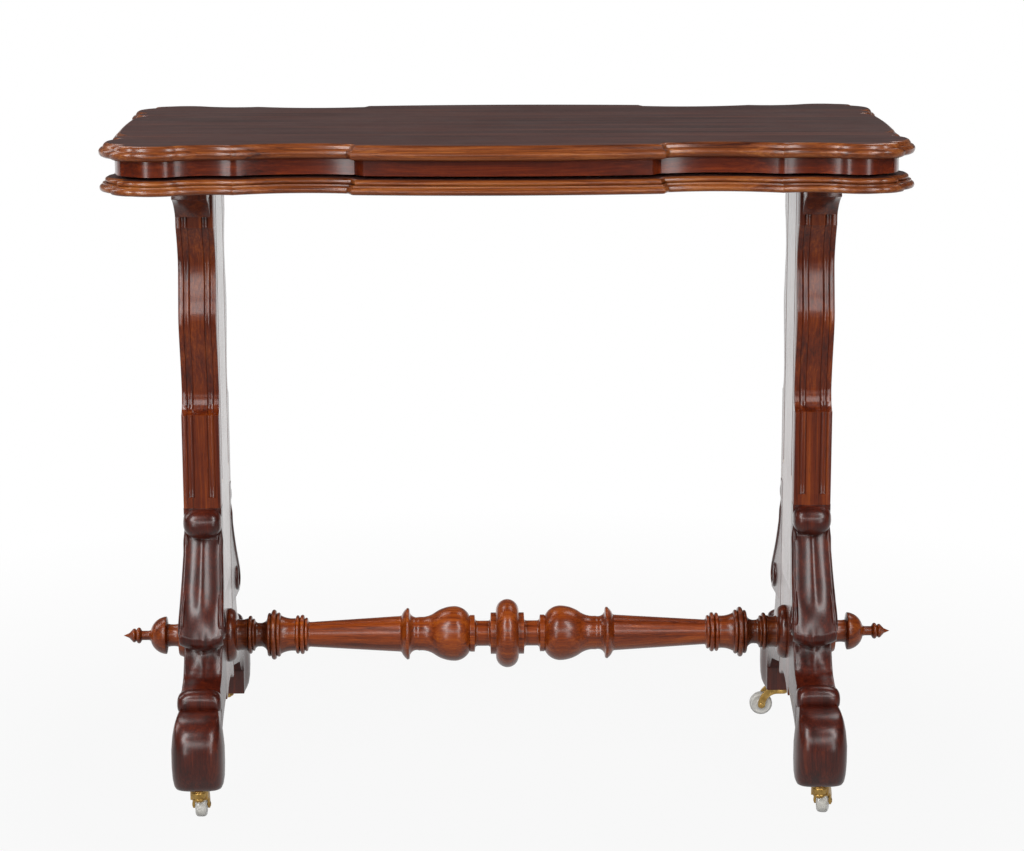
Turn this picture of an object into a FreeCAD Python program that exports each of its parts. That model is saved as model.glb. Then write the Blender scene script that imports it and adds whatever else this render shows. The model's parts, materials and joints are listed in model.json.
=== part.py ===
import FreeCAD, Part
import os

# A mahogany serving table whose top rises on uprights that slide in hollow end standards.
# Millimetres, +Z up, X along the table, front at -Y, origin on the floor under the middle.

# Heights of the stack, from the top surface down
HEIGHT = 720.0
TOP_T = 15.0
BAND_H = 17.0
BAND_GAP = 3.0
TIER_T = 15.0

# Plan of the moulded edges: half sizes at the crests of the ears and of the front bow
HALF_WIDTH = 415.5
HALF_DEPTH = 206.0
# Points of a quarter of the plan: distance from the middle, set-back from the front crest
BREAK_CORNER = (158.0, 9.0)
BREAK_RETURN = (163.0, 21.0)
# Deepest part of the hollow: share of the way from the break to the cusp, set-back
HOLLOW_SHARE = 0.43
HOLLOW_BACK = 26.5
# Points from the cusp round to the end: distance in from the ear crest, set-back from the front crest
CUSP = (138.5, 12.5)
DIP_MIDDLE = (111.5, 16.5)
LOBE_START = (85.5, 10.0)
LOBE_CREST = (58.5, 1.5)
LOBE_END = (37.5, 5.5)
# The rest of the way round an end as (middle, end) of each stretch, with no middle for a straight one:
# the boards have a nose, an ear, a scallop and the shoulder of the end bow, the band a plainer corner
BOARD_END = (
    ((25.0, 10.0), (15.5, 19.5)), (None, (19.0, 26.0)), ((0.0, 58.5), (10.0, 84.0)),
    ((4.6, 97.0), (13.0, 114.0)), ((6.8, 127.0), (3.4, 150.0)),
)
BAND_END = (((27.5, 11.8), (16.5, 16.0)), (None, (9.0, 26.0)), ((1.0, 58.0), (4.5, 96.0)))
# Crest of the end bow, in from the ear crest, on the boards and on the band
BOARD_BOW_IN = 2.2
BAND_BOW_IN = 0.0

# Edge sections: inset from the plan, share of the board's thickness from its underside
TOP_SECTION = (
    (4.2, 0.0), (1.2, 0.12), (0.0, 0.36), (0.5, 0.5), (2.2, 0.63), (3.4, 0.65), (4.3, 0.72),
    (5.4, 0.86), (6.8, 0.95), (8.4, 1.0),
)
TIER_SECTION = (
    (4.0, 0.0), (1.2, 0.06), (0.0, 0.22), (0.6, 0.38), (2.6, 0.5), (3.4, 0.52), (3.4, 0.61),
    (7.2, 0.64), (6.2, 0.76), (6.6, 0.9), (9.0, 1.0),
)

# Band under the top
BAND_INSET = 15.0
BAND_T = 9.0
BAND_JOINT_IN = 3.0
BAND_CORNER_IN = 25.5

# End standards: hollow boxes between shaped edges, with a solid core at the foot
POST_FROM_END = 87.5
POST_T = 40.0
CHEEK_T = 11.5
EDGE_IN = 45.0
BLOCK_OUT = 19.0
LEG_TOP_Z = 315.0
STEP_RISE = 102.0
# Distance out from the cheek's edge, share of the height from the step to the fascia
STEP_SWEEP = (10.4, 0.018)
EDGE_CURVE = (
    (6.5, 0.057), (6.3, 0.1), (11.3, 0.26), (21.5, 0.48), (17.0, 0.62), (10.0, 0.79), (14.5, 0.9),
    (24.0, 1.0),
)
CHANNEL_W = 7.2
CHANNEL_X = 11.0
CHANNEL_D = 2.5
CHANNEL_FOOT = 12.0
FASCIA_OUT = 25.0
FASCIA_H = 12.0
COVE_H = 23.0
COVE_BEND = (0.42, 0.58)
CORBEL_INSET = 3.0
ABACUS_OUT = 59.0
ABACUS_T = 16.0
ABACUS_LIP = 2.0
CORE_HALF = 60.0
ARCH_R = 60.0
ARCH_RISE = 12.0

# Sliding uprights and what guides and holds them
SLIDE_GAP = 0.5
UPRIGHT_CLEAR = 5.0
TENON_HALF = 30.0
TIER_SLOT_GAP = 1.5
BATTEN_W = 60.0
BATTEN_FROM_FRONT = 56.0
BATTEN_T = 14.0
SLOT_EDGE = 6.0
SLOT_W = 4.0
SLOT_RISE = 23.0
PIN_R = 1.7
PIN_REST_GAP = 0.3
PIN_STOP = 2.0
FIT_GAP = 0.05
SCREW_R = 2.0
SCREW_HEAD_R = 4.0
SCREW_HEAD_H = 3.0
SCREW_BITE = 7.0
SCREW_EDGE = 12.0
SPRING_T = 0.8
SPRING_W = 14.0
SPRING_L = 56.0
SPRING_RISE = 10.0
SPRING_CLEAR = 1.0
SPRING_DEPTH = 2.6
SPRING_TOUCH = 0.3

# Scroll legs: widths across, then side curves as distance out from the cheek's edge and share of the
# leg's height above the castor
LEG_W = 41.6
HEAD_R = 17.0
HEAD_W = 41.2
HEAD_ROUND = 12.0
SHAFT_W = 40.6
SHAFT_CURVE = ((24.5, 0.822), (34.0, 0.745), (50.0, 0.662), (66.0, 0.593), (73.0, 0.545))
LIP_W = 47.4
LIP_FRONT = (71.5, 0.513)
LIP_BACK = (65.0, 0.495)
NECK_CURVE = ((53.0, 0.487), (50.0, 0.444), (54.0, 0.393), (67.0, 0.353), (87.0, 0.335))
ROOT_CURVE = ((103.0, 0.095), (79.0, 0.167), (43.0, 0.2))
COLLAR = (103.0, 0.311)
COLLAR_R = 13.0
COLLAR_W = 46.5
COLLAR_ROUND = 7.0
TOE_W = 55.6
TOE_ROUND = 19.0
TOE_HEEL = 105.0
TOE_CURVE = ((113.0, 0.287), (135.0, 0.278), (154.0, 0.233), (162.0, 0.16), (159.5, 0.066), (149.0, 0.0))
DOWEL_R = 4.0
DOWEL_HALF = 18.0
DOWEL_OFF = 35.0

# Turned stretcher: (distance, radius) from the middle outwards, then from the standard back to the taper
STRETCHER_Z = 154.6
MIDDLE_TURNING = (
    (0.0, 37.8), (9.9, 32.9, 12.6, 24.5), (12.7, 23.0), (18.4, 23.0), (18.9, 17.0),
    (19.7, 14.6, 21.8, 14.0), (32.6, 14.0), (34.6, 14.6, 35.6, 17.0), (36.2, 20.4), (41.0, 20.4),
    (41.6, 19.4), (47.2, 26.4, 58.2, 30.3), (70.5, 28.3, 80.0, 23.6), (88.0, 19.6, 97.7, 18.7),
    (104.6, 19.4, 107.9, 23.6), (108.4, 27.4), (110.2, 28.6, 112.0, 27.6), (115.2, 24.0, 117.0, 20.6),
    (118.4, 19.8),
)
BOSS_T = 10.0
END_TURNING = (
    (90.0, 13.75), (88.2, 14.4, 87.5, 16.2), (87.4, 16.8), (85.7, 18.7, 84.0, 17.2), (83.8, 16.6),
    (83.6, 19.5), (81.2, 21.9, 78.9, 19.6), (78.4, 17.9), (77.9, 19.5), (76.0, 21.4, 74.1, 19.4),
    (73.5, 18.1), (65.0, 18.5, 57.6, 21.2), (57.0, 22.4), (55.0, 24.5, 53.0, 22.8), (52.8, 22.6),
    (52.6, 25.0), (49.9, 27.8, 47.2, 25.2), (46.9, 22.8), (46.7, 22.6), (44.8, 24.1, 42.9, 22.0),
    (42.6, 19.8), (38.5, 13.9, 33.5, 13.2), (30.5, 13.8, 28.9, 16.0), (28.7, 16.6),
    (27.4, 17.9, 26.1, 16.9), (25.7, 18.5), (23.6, 21.2, 21.5, 18.8), (21.1, 17.6), (20.6, 18.4),
    (15.3, 17.0, BOSS_T, 17.6),
)
STRETCHER_TENON_R = 10.0
STRETCHER_TENON = 17.0
BOSS_TURNING = ((0.0, 19.0), (0.4, 21.5), (3.4, 27.4, 8.0, 29.6), (BOSS_T, 29.6))
FINIAL_TENON_R = 8.0
FINIAL_TENON = 14.0
FINIAL_TURNING = (
    (-FINIAL_TENON, FINIAL_TENON_R), (0.0, FINIAL_TENON_R), (0.0, 23.9), (7.0, 24.6, 14.5, 22.0),
    (15.5, 12.9), (21.6, 12.1, 27.7, 12.9), (29.0, 20.7), (31.0, 20.7), (40.1, 16.6, 46.6, 6.2),
    (48.6, 5.2), (56.4, 5.2), (57.6, 7.4), (59.8, 8.9, 62.0, 7.4), (62.8, 5.8), (64.4, 7.6, 66.4, 7.2),
    (70.6, 2.7), (76.8, 0.0),
)

# Castors
CASTOR_H = 40.0
CASTOR_OUT = 136.0
CASTOR_HEADINGS = {"front_left": 90.0, "front_right": 75.0, "rear_left": 180.0, "rear_right": 180.0}
PLATE_R = 10.0
PLATE_T = 2.5
STEM_R = 3.5
STEM_L = 30.0
PIVOT_R = 2.6
RIVET_R = 4.5
RIVET_T = 1.6
HUB_R = 8.4
HUB_T = 10.0
HUB_GAP = 0.3
TRAIL = 26.0
WHEEL_R = 13.3
WHEEL_W = 12.5
WHEEL_BORE_R = 1.8
WHEEL_ROUND = 3.5
ARM_T = 2.4
ARM_GAP = 0.5
ARM_EYE_R = 4.2
ARM_SHOULDER = 8.7
ARM_DEPTH = 6.0
AXLE_HEAD_R = 2.8
AXLE_HEAD_T = 0.8

# Levels and places that follow from the sizes above
BAND_TOP_Z = HEIGHT - TOP_T
BAND_FOOT_Z = BAND_TOP_Z - BAND_H
TIER_TOP_Z = BAND_FOOT_Z - BAND_GAP
TIER_FOOT_Z = TIER_TOP_Z - TIER_T
BATTEN_FOOT_Z = BAND_TOP_Z - BATTEN_T
BATTEN_HALF = HALF_DEPTH - BATTEN_FROM_FRONT
BAND_BREAK_X = BREAK_CORNER[0] - BAND_JOINT_IN
BAND_CORNER_X = HALF_WIDTH - BAND_CORNER_IN
POST_X = HALF_WIDTH - POST_FROM_END
POST_IN = POST_X - POST_T / 2
POST_OUT = POST_X + POST_T / 2
CAVITY_W = POST_T - 2 * CHEEK_T
BLOCK_Y = EDGE_IN + BLOCK_OUT
FASCIA_Y = EDGE_IN + FASCIA_OUT
ABACUS_Y = EDGE_IN + ABACUS_OUT
STEP_Z = LEG_TOP_Z + STEP_RISE
COVE_HEAD_Z = TIER_FOOT_Z - ABACUS_T
COVE_FOOT_Z = COVE_HEAD_Z - COVE_H
FASCIA_Z = COVE_FOOT_Z - FASCIA_H
CORE_TOP_Z = STRETCHER_Z + CORE_HALF
CORE_FOOT_Z = STRETCHER_Z - CORE_HALF
UPRIGHT_T = CAVITY_W - 2 * SLIDE_GAP
UPRIGHT_HALF = EDGE_IN - SLIDE_GAP
UPRIGHT_FOOT_Z = CORE_TOP_Z + UPRIGHT_CLEAR
SPRING_FOOT_Z = UPRIGHT_FOOT_Z + SPRING_RISE
SLOT_Y = EDGE_IN - SLOT_EDGE
SLOT_FOOT_Z = LEG_TOP_Z + SLOT_RISE
PIN_Z = SLOT_FOOT_Z + PIN_REST_GAP + PIN_R
PIN_END_X = POST_X + UPRIGHT_T / 2 - PIN_STOP
HEAD_Z = LEG_TOP_Z - HEAD_R
LEG_H = LEG_TOP_Z - CASTOR_H
DOWEL_ZS = (STRETCHER_Z - DOWEL_OFF, STRETCHER_Z + DOWEL_OFF)
STRETCHER_END_X = POST_IN - BOSS_T
CASTOR_Y = EDGE_IN + CASTOR_OUT
HUB_HEAD_Z = CASTOR_H - PLATE_T - HUB_GAP
HUB_FOOT_Z = HUB_HEAD_Z - HUB_T

V = FreeCAD.Vector
ORIGIN = V(0, 0, 0)
pieces = {}


# Helpers
def box(low, high):
    size = V(*high) - V(*low)
    return Part.makeBox(size.x, size.y, size.z, V(*low))


def rod(radius, start, end):
    run = V(*end) - V(*start)
    return Part.makeCylinder(radius, run.Length, V(*start), run)


def fused(shapes):
    return shapes[0].multiFuse(shapes[1:]).removeSplitter()


def spline(points):
    curve = Part.BSplineCurve()
    curve.interpolate(points)
    return curve.toShape()


def line(start, end):
    return Part.LineSegment(start, end).toShape()


def side_points(pairs):
    return [V(0, y, z) for y, z in pairs]


def leg_points(pairs):
    return [V(0, EDGE_IN + out, CASTOR_H + share * LEG_H) for out, share in pairs]


def across(edges, width, middle):
    """A side outline, drawn on the plane X = 0, made as wide as stated about X = middle."""
    face = Part.Face(Part.Wire(edges))
    face.translate(V(middle - width / 2, 0, 0))
    return face.extrude(V(width, 0, 0))


def mirrored(shape, x_side, y_side):
    if x_side < 0:
        shape = shape.mirror(ORIGIN, V(1, 0, 0))
    if y_side < 0:
        shape = shape.mirror(ORIGIN, V(0, 1, 0))
    return shape


def placed(profile, start, way=1):
    """Moves the distances of a profile to a place on the axis and keeps its radii."""
    return [tuple(n if i % 2 else start + way * n for i, n in enumerate(entry)) for entry in profile]


def turned(profile):
    """Revolves (x, radius) points about the stretcher's axis; four numbers are an arc and its end."""
    last = V(profile[0][0], 0, profile[0][1])
    edges = []
    for entry in profile[1:]:
        end = V(entry[-2], 0, entry[-1])
        if len(entry) == 4:
            edges.append(Part.Arc(last, V(entry[0], 0, entry[1]), end).toShape())
        else:
            edges.append(line(last, end))
        last = end
    first = V(profile[0][0], 0, profile[0][1])
    if last.z > 0:
        edges.append(line(last, V(last.x, 0, 0)))
    if first.z > 0:
        edges.append(line(V(first.x, 0, 0), first))
    edges.append(line(V(last.x, 0, 0), V(first.x, 0, 0)))
    solid = Part.Face(Part.Wire(Part.__sortEdges__(edges))).revolve(ORIGIN, V(1, 0, 0), 360)
    solid.translate(V(0, 0, STRETCHER_Z))
    return solid


# Plan of the moulded boards
def from_end(pair):
    """A plan point from its distance in from the ear crest and its set-back, or nothing from nothing."""
    return pair and V(HALF_WIDTH - pair[0], HALF_DEPTH - pair[1], 0)


def plan_quarter(end):
    """Stretches of a quarter of the plan, from the break corner to the end bow: start, middle, end."""
    corner, foot = [V(x, HALF_DEPTH - back, 0) for x, back in (BREAK_CORNER, BREAK_RETURN)]
    cusp = from_end(CUSP)
    hollow = V(foot.x + HOLLOW_SHARE * (cusp.x - foot.x), HALF_DEPTH - HOLLOW_BACK, 0)
    stretches = [(corner, None, foot), (foot, hollow, cusp)]
    for middle, last in ((DIP_MIDDLE, LOBE_START), (LOBE_CREST, LOBE_END)) + end:
        stretches.append((stretches[-1][2], from_end(middle), from_end(last)))
    return stretches


def plan_loop(end, bow_in):
    """The whole plan, clockwise seen from above, starting at the rear break corner."""
    quarter = plan_quarter(end)
    flip = [tuple(p and V(p.x, -p.y, 0) for p in stretch[::-1]) for stretch in reversed(quarter)]
    bow_start = quarter[-1][2]
    corner = quarter[0][0]
    end_bow = (bow_start, V(HALF_WIDTH - bow_in, 0, 0), V(bow_start.x, -bow_start.y, 0))
    front_bow = (V(corner.x, -corner.y, 0), V(0, -HALF_DEPTH, 0), V(-corner.x, -corner.y, 0))
    half = quarter + [end_bow] + flip + [front_bow]
    other = [tuple(p and V(-p.x, -p.y, 0) for p in stretch) for stretch in half]
    return half + other


def outward_normals(start, middle, end):
    """Outward unit normals at the start, middle and end of a stretch walked clockwise."""
    chord = end - start
    left = V(-chord.y, chord.x, 0).normalize()
    if middle is None:
        return left, left, left
    centre = Part.Arc(start, middle, end).toShape().Curve.Center
    side = 1 if (middle - centre).dot(left) > 0 else -1
    return tuple(((p - centre) * side).normalize() for p in (start, middle, end))


def plan_wire(end, bow_in, inset, z):
    """The plan drawn at a height and moved in everywhere by the inset."""
    loop = plan_loop(end, bow_in)
    normals = [outward_normals(*stretch) for stretch in loop]
    lift = V(0, 0, z)
    corners = []
    for i, stretch in enumerate(loop):
        before = normals[i - 1][2]
        after = normals[i][0]
        mitre = (before + after) * (1 / (1 + before.dot(after)))
        corners.append(stretch[0] - mitre * inset + lift)
    edges = []
    for i, (start, middle, end) in enumerate(loop):
        a = corners[i]
        b = corners[(i + 1) % len(loop)]
        if middle is None:
            edges.append(line(a, b))
        else:
            edges.append(Part.Arc(a, middle - normals[i][1] * inset + lift, b).toShape())
    return Part.Wire(edges)


def moulded_board(section, foot_z, thickness):
    wires = []
    for inset, share in section:
        wires.append(plan_wire(BOARD_END, BOARD_BOW_IN, inset, foot_z + share * thickness))
    return Part.makeLoft(wires, True, True)


def band_slab(inset):
    return Part.Face(plan_wire(BAND_END, BAND_BOW_IN, inset, BAND_FOOT_Z)).extrude(V(0, 0, BAND_H))


# Top board, with holes for the batten screws
def screw_places():
    x_off = BATTEN_W / 2 - SCREW_EDGE
    y_off = BATTEN_HALF - SCREW_EDGE
    return [(s * POST_X + dx, dy) for s in (-1, 1) for dx in (-x_off, x_off) for dy in (-y_off, y_off)]


def screw(x, y, gap=0.0):
    """A countersunk screw, or with a gap the hole for it."""
    foot = V(x, y, BATTEN_FOOT_Z)
    shank = Part.makeCylinder(SCREW_R + gap, BATTEN_T + SCREW_BITE, foot)
    head = Part.makeCone(SCREW_HEAD_R + gap, SCREW_R + gap, SCREW_HEAD_H, foot)
    return shank.fuse(head).removeSplitter()


screw_holes = [screw(x, y, FIT_GAP) for x, y in screw_places()]
pieces["top_board"] = moulded_board(TOP_SECTION, BAND_TOP_Z, TOP_T).cut(screw_holes)
pieces["batten_screws"] = Part.makeCompound([screw(x, y) for x, y in screw_places()])

# Band: one ring of wood made in eight lengths
ring = band_slab(BAND_INSET).cut(band_slab(BAND_INSET + BAND_T))
for end_name, y_side in (("front", -1), ("rear", 1)):
    spans = {"left": (-BAND_CORNER_X, -BAND_BREAK_X), "middle": (-BAND_BREAK_X, BAND_BREAK_X),
             "right": (BAND_BREAK_X, BAND_CORNER_X)}
    for span_name, (low_x, high_x) in spans.items():
        ys = sorted((0.0, y_side * HALF_DEPTH))
        cutter = box((low_x, ys[0], BAND_FOOT_Z), (high_x, ys[1], BAND_TOP_Z))
        keep = ring.common(cutter).Solids
        pieces["band_%s_%s" % (end_name, span_name)] = max(keep, key=lambda solid: solid.Volume)
for side_name, x_side in (("left", -1), ("right", 1)):
    xs = sorted((x_side * BAND_CORNER_X, x_side * HALF_WIDTH))
    end_piece = ring.common(box((xs[0], -HALF_DEPTH, BAND_FOOT_Z), (xs[1], HALF_DEPTH, BAND_TOP_Z)))
    pieces["band_%s_end" % side_name] = end_piece.Solids[0]


# Battens and sliding uprights
def spring_recess():
    outer = POST_X + UPRIGHT_T / 2
    half = SPRING_W / 2 + SPRING_CLEAR
    low = (outer - SPRING_DEPTH, -half, SPRING_FOOT_Z - SPRING_CLEAR)
    return box(low, (outer, half, SPRING_FOOT_Z + SPRING_L + SPRING_CLEAR))


def upright():
    inner = POST_X - UPRIGHT_T / 2
    outer = POST_X + UPRIGHT_T / 2
    board = box((inner, -UPRIGHT_HALF, UPRIGHT_FOOT_Z), (outer, UPRIGHT_HALF, BATTEN_FOOT_Z))
    tenon = box((inner, -TENON_HALF, BATTEN_FOOT_Z), (outer, TENON_HALF, BAND_TOP_Z))
    holes = [rod(PIN_R + FIT_GAP, (inner, y, PIN_Z), (PIN_END_X, y, PIN_Z)) for y in (-SLOT_Y, SLOT_Y)]
    return board.fuse(tenon).removeSplitter().cut(holes + [spring_recess()])


def batten():
    low = (POST_X - BATTEN_W / 2, -BATTEN_HALF, BATTEN_FOOT_Z)
    high = (POST_X + BATTEN_W / 2, BATTEN_HALF, BAND_TOP_Z)
    half_t = UPRIGHT_T / 2
    mortise = box((POST_X - half_t, -TENON_HALF, BATTEN_FOOT_Z), (POST_X + half_t, TENON_HALF, BAND_TOP_Z))
    return box(low, high).cut(mortise)


def friction_spring():
    """A bowed strip: its ends bear on the upright's recess, its crest on the outer cheek."""
    floor = POST_X + UPRIGHT_T / 2 - SPRING_DEPTH
    crest = POST_X + CAVITY_W / 2 - SPRING_TOUCH
    middle_z = SPRING_FOOT_Z + SPRING_L / 2
    head_z = SPRING_FOOT_Z + SPRING_L
    half = SPRING_W / 2
    near = [V(floor, -half, SPRING_FOOT_Z), V(crest - SPRING_T, -half, middle_z), V(floor, -half, head_z)]
    far = [p + V(SPRING_T, 0, 0) for p in near]
    edges = [Part.Arc(*near).toShape(), line(near[2], far[2])]
    edges += [Part.Arc(*far).toShape(), line(far[0], near[0])]
    return Part.Face(Part.Wire(Part.__sortEdges__(edges))).extrude(V(0, SPRING_W, 0))


pins = []
springs = []
for side_name, x_side in (("left", -1), ("right", 1)):
    pieces["%s_batten" % side_name] = mirrored(batten(), x_side, 1).cut(screw_holes)
    pieces["%s_upright" % side_name] = mirrored(upright(), x_side, 1)
    springs.append(mirrored(friction_spring(), x_side, 1))
    for y in (-SLOT_Y, SLOT_Y):
        pins.append(mirrored(rod(PIN_R, (POST_IN, y, PIN_Z), (PIN_END_X, y, PIN_Z)), x_side, 1))
pieces["guide_pins"] = Part.makeCompound(pins)
pieces["friction_springs"] = Part.makeCompound(springs)

# Lower tier, with a slot for each upright
slot_half_x = UPRIGHT_T / 2 + TIER_SLOT_GAP
slot_half_y = UPRIGHT_HALF + TIER_SLOT_GAP
tier_slots = []
for x_side in (-1, 1):
    low = (x_side * POST_X - slot_half_x, -slot_half_y, TIER_FOOT_Z)
    high = (x_side * POST_X + slot_half_x, slot_half_y, TIER_TOP_Z)
    tier_slots.append(box(low, high))
pieces["lower_tier"] = moulded_board(TIER_SECTION, TIER_FOOT_Z, TIER_T).cut(tier_slots)


# End standards
def cheek(inner_x):
    return box((inner_x, -EDGE_IN, CORE_TOP_Z), (inner_x + CHEEK_T, EDGE_IN, TIER_FOOT_Z))


def guide_slots():
    """Slots through the inner cheek, rounded at the foot and open at the head."""
    cuts = []
    foot = SLOT_FOOT_Z + SLOT_W / 2
    for y in (-SLOT_Y, SLOT_Y):
        cuts.append(rod(SLOT_W / 2, (POST_IN, y, foot), (POST_IN + CHEEK_T, y, foot)))
        low = (POST_IN, y - SLOT_W / 2, foot)
        cuts.append(box(low, (POST_IN + CHEEK_T, y + SLOT_W / 2, TIER_FOOT_Z)))
    return cuts


def edge_slab(width, middle, set_back=0.0):
    """Side outline of a standard's edge, at a width and pushed back towards the middle."""
    rise = FASCIA_Z - STEP_Z
    shares = (STEP_SWEEP,) + EDGE_CURVE
    sweep, *curve = side_points([(EDGE_IN + out, STEP_Z + share * rise) for out, share in shares])
    corners = side_points([(FASCIA_Y, FASCIA_Z), (FASCIA_Y, TIER_FOOT_Z), (EDGE_IN, TIER_FOOT_Z),
                           (EDGE_IN, LEG_TOP_Z), (BLOCK_Y, LEG_TOP_Z), (BLOCK_Y, STEP_Z)])
    chain = [curve[-1]] + corners
    edges = [Part.Arc(corners[-1], sweep, curve[0]).toShape(), spline(curve)]
    edges += [line(a, b) for a, b in zip(chain, chain[1:])]
    slab = across(edges, width, middle)
    slab.translate(V(0, -set_back, 0))
    return slab


def shaped_edge():
    solid = edge_slab(POST_T, POST_X)
    for x_side in (-1, 1):
        middle = POST_X + x_side * CHANNEL_X
        channel = edge_slab(CHANNEL_W, middle).cut(edge_slab(CHANNEL_W, middle, CHANNEL_D))
        low = (middle - CHANNEL_W, EDGE_IN, LEG_TOP_Z + CHANNEL_FOOT)
        reach = box(low, (middle + CHANNEL_W, ABACUS_Y, COVE_FOOT_Z))
        solid = solid.cut(channel.common(reach))
    return solid


def corbel():
    """A bracket on the face of the standard's edge, a little short of its inner side."""
    start = V(0, FASCIA_Y, COVE_FOOT_Z)
    end = V(0, ABACUS_Y - ABACUS_LIP, COVE_HEAD_Z)
    bend = V(0, start.y + COVE_BEND[0] * (end.y - start.y), start.z + COVE_BEND[1] * (end.z - start.z))
    corners = side_points([(ABACUS_Y, COVE_HEAD_Z), (ABACUS_Y, TIER_FOOT_Z), (FASCIA_Y, TIER_FOOT_Z)])
    chain = [end] + corners + [start]
    edges = [Part.Arc(start, bend, end).toShape()] + [line(a, b) for a, b in zip(chain, chain[1:])]
    return across(edges, POST_T - CORBEL_INSET, POST_X + CORBEL_INSET / 2)


def dowel(z, gap=0.0):
    half = DOWEL_HALF + gap
    return rod(DOWEL_R + gap, (POST_X, EDGE_IN - half, z), (POST_X, EDGE_IN + half, z))


def core_block():
    solid = box((POST_IN, -EDGE_IN, CORE_FOOT_Z), (POST_OUT, EDGE_IN, CORE_TOP_Z))
    arch_z = CORE_FOOT_Z + ARCH_RISE - ARCH_R
    cuts = [rod(ARCH_R, (POST_IN, 0, arch_z), (POST_OUT, 0, arch_z))]
    tenon_end = POST_IN + STRETCHER_TENON
    cuts.append(rod(STRETCHER_TENON_R + FIT_GAP, (POST_IN, 0, STRETCHER_Z), (tenon_end, 0, STRETCHER_Z)))
    finial_end = POST_OUT - FINIAL_TENON
    cuts.append(rod(FINIAL_TENON_R + FIT_GAP, (finial_end, 0, STRETCHER_Z), (POST_OUT, 0, STRETCHER_Z)))
    for z in DOWEL_ZS:
        cuts += [dowel(z, FIT_GAP), mirrored(dowel(z, FIT_GAP), 1, -1)]
    return solid.cut(cuts)


# Scroll legs, drawn as the rear right one
def leg_shaft():
    """Head, shaft and neck from the side, narrowed to their widths as seen from the front."""
    shaft = side_points([(BLOCK_Y, HEAD_Z - HEAD_R)]) + leg_points(SHAFT_CURVE)
    neck = leg_points(NECK_CURVE)
    root = leg_points(ROOT_CURVE) + side_points([(EDGE_IN, CORE_FOOT_Z)])
    top = side_points([(EDGE_IN, LEG_TOP_Z), (BLOCK_Y, LEG_TOP_Z)])
    head_front = V(0, BLOCK_Y + HEAD_R, HEAD_Z)
    lip_front, lip_back, collar = leg_points([LIP_FRONT, LIP_BACK, COLLAR])
    edges = [line(*top), Part.Arc(top[1], head_front, shaft[0]).toShape(), spline(shaft)]
    edges += [Part.Arc(shaft[-1], lip_front, lip_back).toShape(), line(lip_back, neck[0]), spline(neck)]
    edges += [line(neck[-1], collar), line(collar, root[0]), spline(root), line(root[-1], top[0])]
    solid = across(edges, TOE_W, POST_X)
    widths = ((HEAD_W, LEG_TOP_Z), (SHAFT_W, shaft[1].z), (LIP_W, shaft[-1].z), (LIP_W, lip_back.z),
              (LEG_W, neck[0].z), (LEG_W, root[0].z))
    right = [V(POST_X + width / 2, EDGE_IN, z) for width, z in widths]
    left = [V(POST_X - width / 2, EDGE_IN, z) for width, z in reversed(widths)]
    front = Part.Face(Part.makePolygon(right + left + right[:1]))
    return solid.common(front.extrude(V(0, HALF_DEPTH, 0)))


def roll(radius, width, rounding, centre):
    """A roll lying across the leg, with rounded ends."""
    half = V(width / 2, 0, 0)
    start = V(POST_X, centre.y, centre.z) - half
    solid = Part.makeCylinder(radius, width, start, half)
    rims = [edge for edge in solid.Edges if edge.Closed]
    return solid.makeFillet(rounding, rims)


def toe():
    curve = leg_points(TOE_CURVE)
    heel_y = EDGE_IN + TOE_HEEL
    points = [V(0, heel_y, CASTOR_H), V(0, heel_y, curve[0].z)]
    edges = [spline(curve), line(curve[-1], points[0]), line(*points), line(points[1], curve[0])]
    solid = across(edges, TOE_W, POST_X)
    tip_y = max(p.y for p in curve)
    plan = box((POST_X - TOE_W / 2, BLOCK_Y, CASTOR_H), (POST_X + TOE_W / 2, tip_y, LEG_TOP_Z))
    corners = [edge for edge in plan.Edges if all(abs(v.Y - tip_y) < FIT_GAP for v in edge.Vertexes)]
    upright_corners = [edge for edge in corners if edge.Vertexes[0].X == edge.Vertexes[1].X]
    return solid.common(plan.makeFillet(TOE_ROUND, upright_corners))


def scroll_leg():
    head = roll(HEAD_R, HEAD_W, HEAD_ROUND, V(0, BLOCK_Y, HEAD_Z))
    collar = roll(COLLAR_R, COLLAR_W, COLLAR_ROUND, leg_points([COLLAR])[0])
    solid = fused([leg_shaft(), head, collar, toe()])
    bores = [dowel(z, FIT_GAP) for z in DOWEL_ZS]
    bores.append(Part.makeCylinder(STEM_R + FIT_GAP, STEM_L, V(POST_X, CASTOR_Y, CASTOR_H)))
    return solid.cut(bores)


dowels = []
for side_name, x_side in (("left", -1), ("right", 1)):
    pieces["%s_inner_cheek" % side_name] = mirrored(cheek(POST_IN).cut(guide_slots()), x_side, 1)
    pieces["%s_outer_cheek" % side_name] = mirrored(cheek(POST_OUT - CHEEK_T), x_side, 1)
    pieces["%s_core_block" % side_name] = mirrored(core_block(), x_side, 1)
    for end_name, y_side in (("front", -1), ("rear", 1)):
        place = "%s_%s" % (end_name, side_name)
        pieces["%s_edge" % place] = mirrored(shaped_edge(), x_side, y_side)
        pieces["%s_corbel" % place] = mirrored(corbel(), x_side, y_side)
        pieces["%s_leg" % place] = mirrored(scroll_leg(), x_side, y_side)
        dowels += [mirrored(dowel(z), x_side, y_side) for z in DOWEL_ZS]
pieces["leg_dowels"] = Part.makeCompound(dowels)

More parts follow.
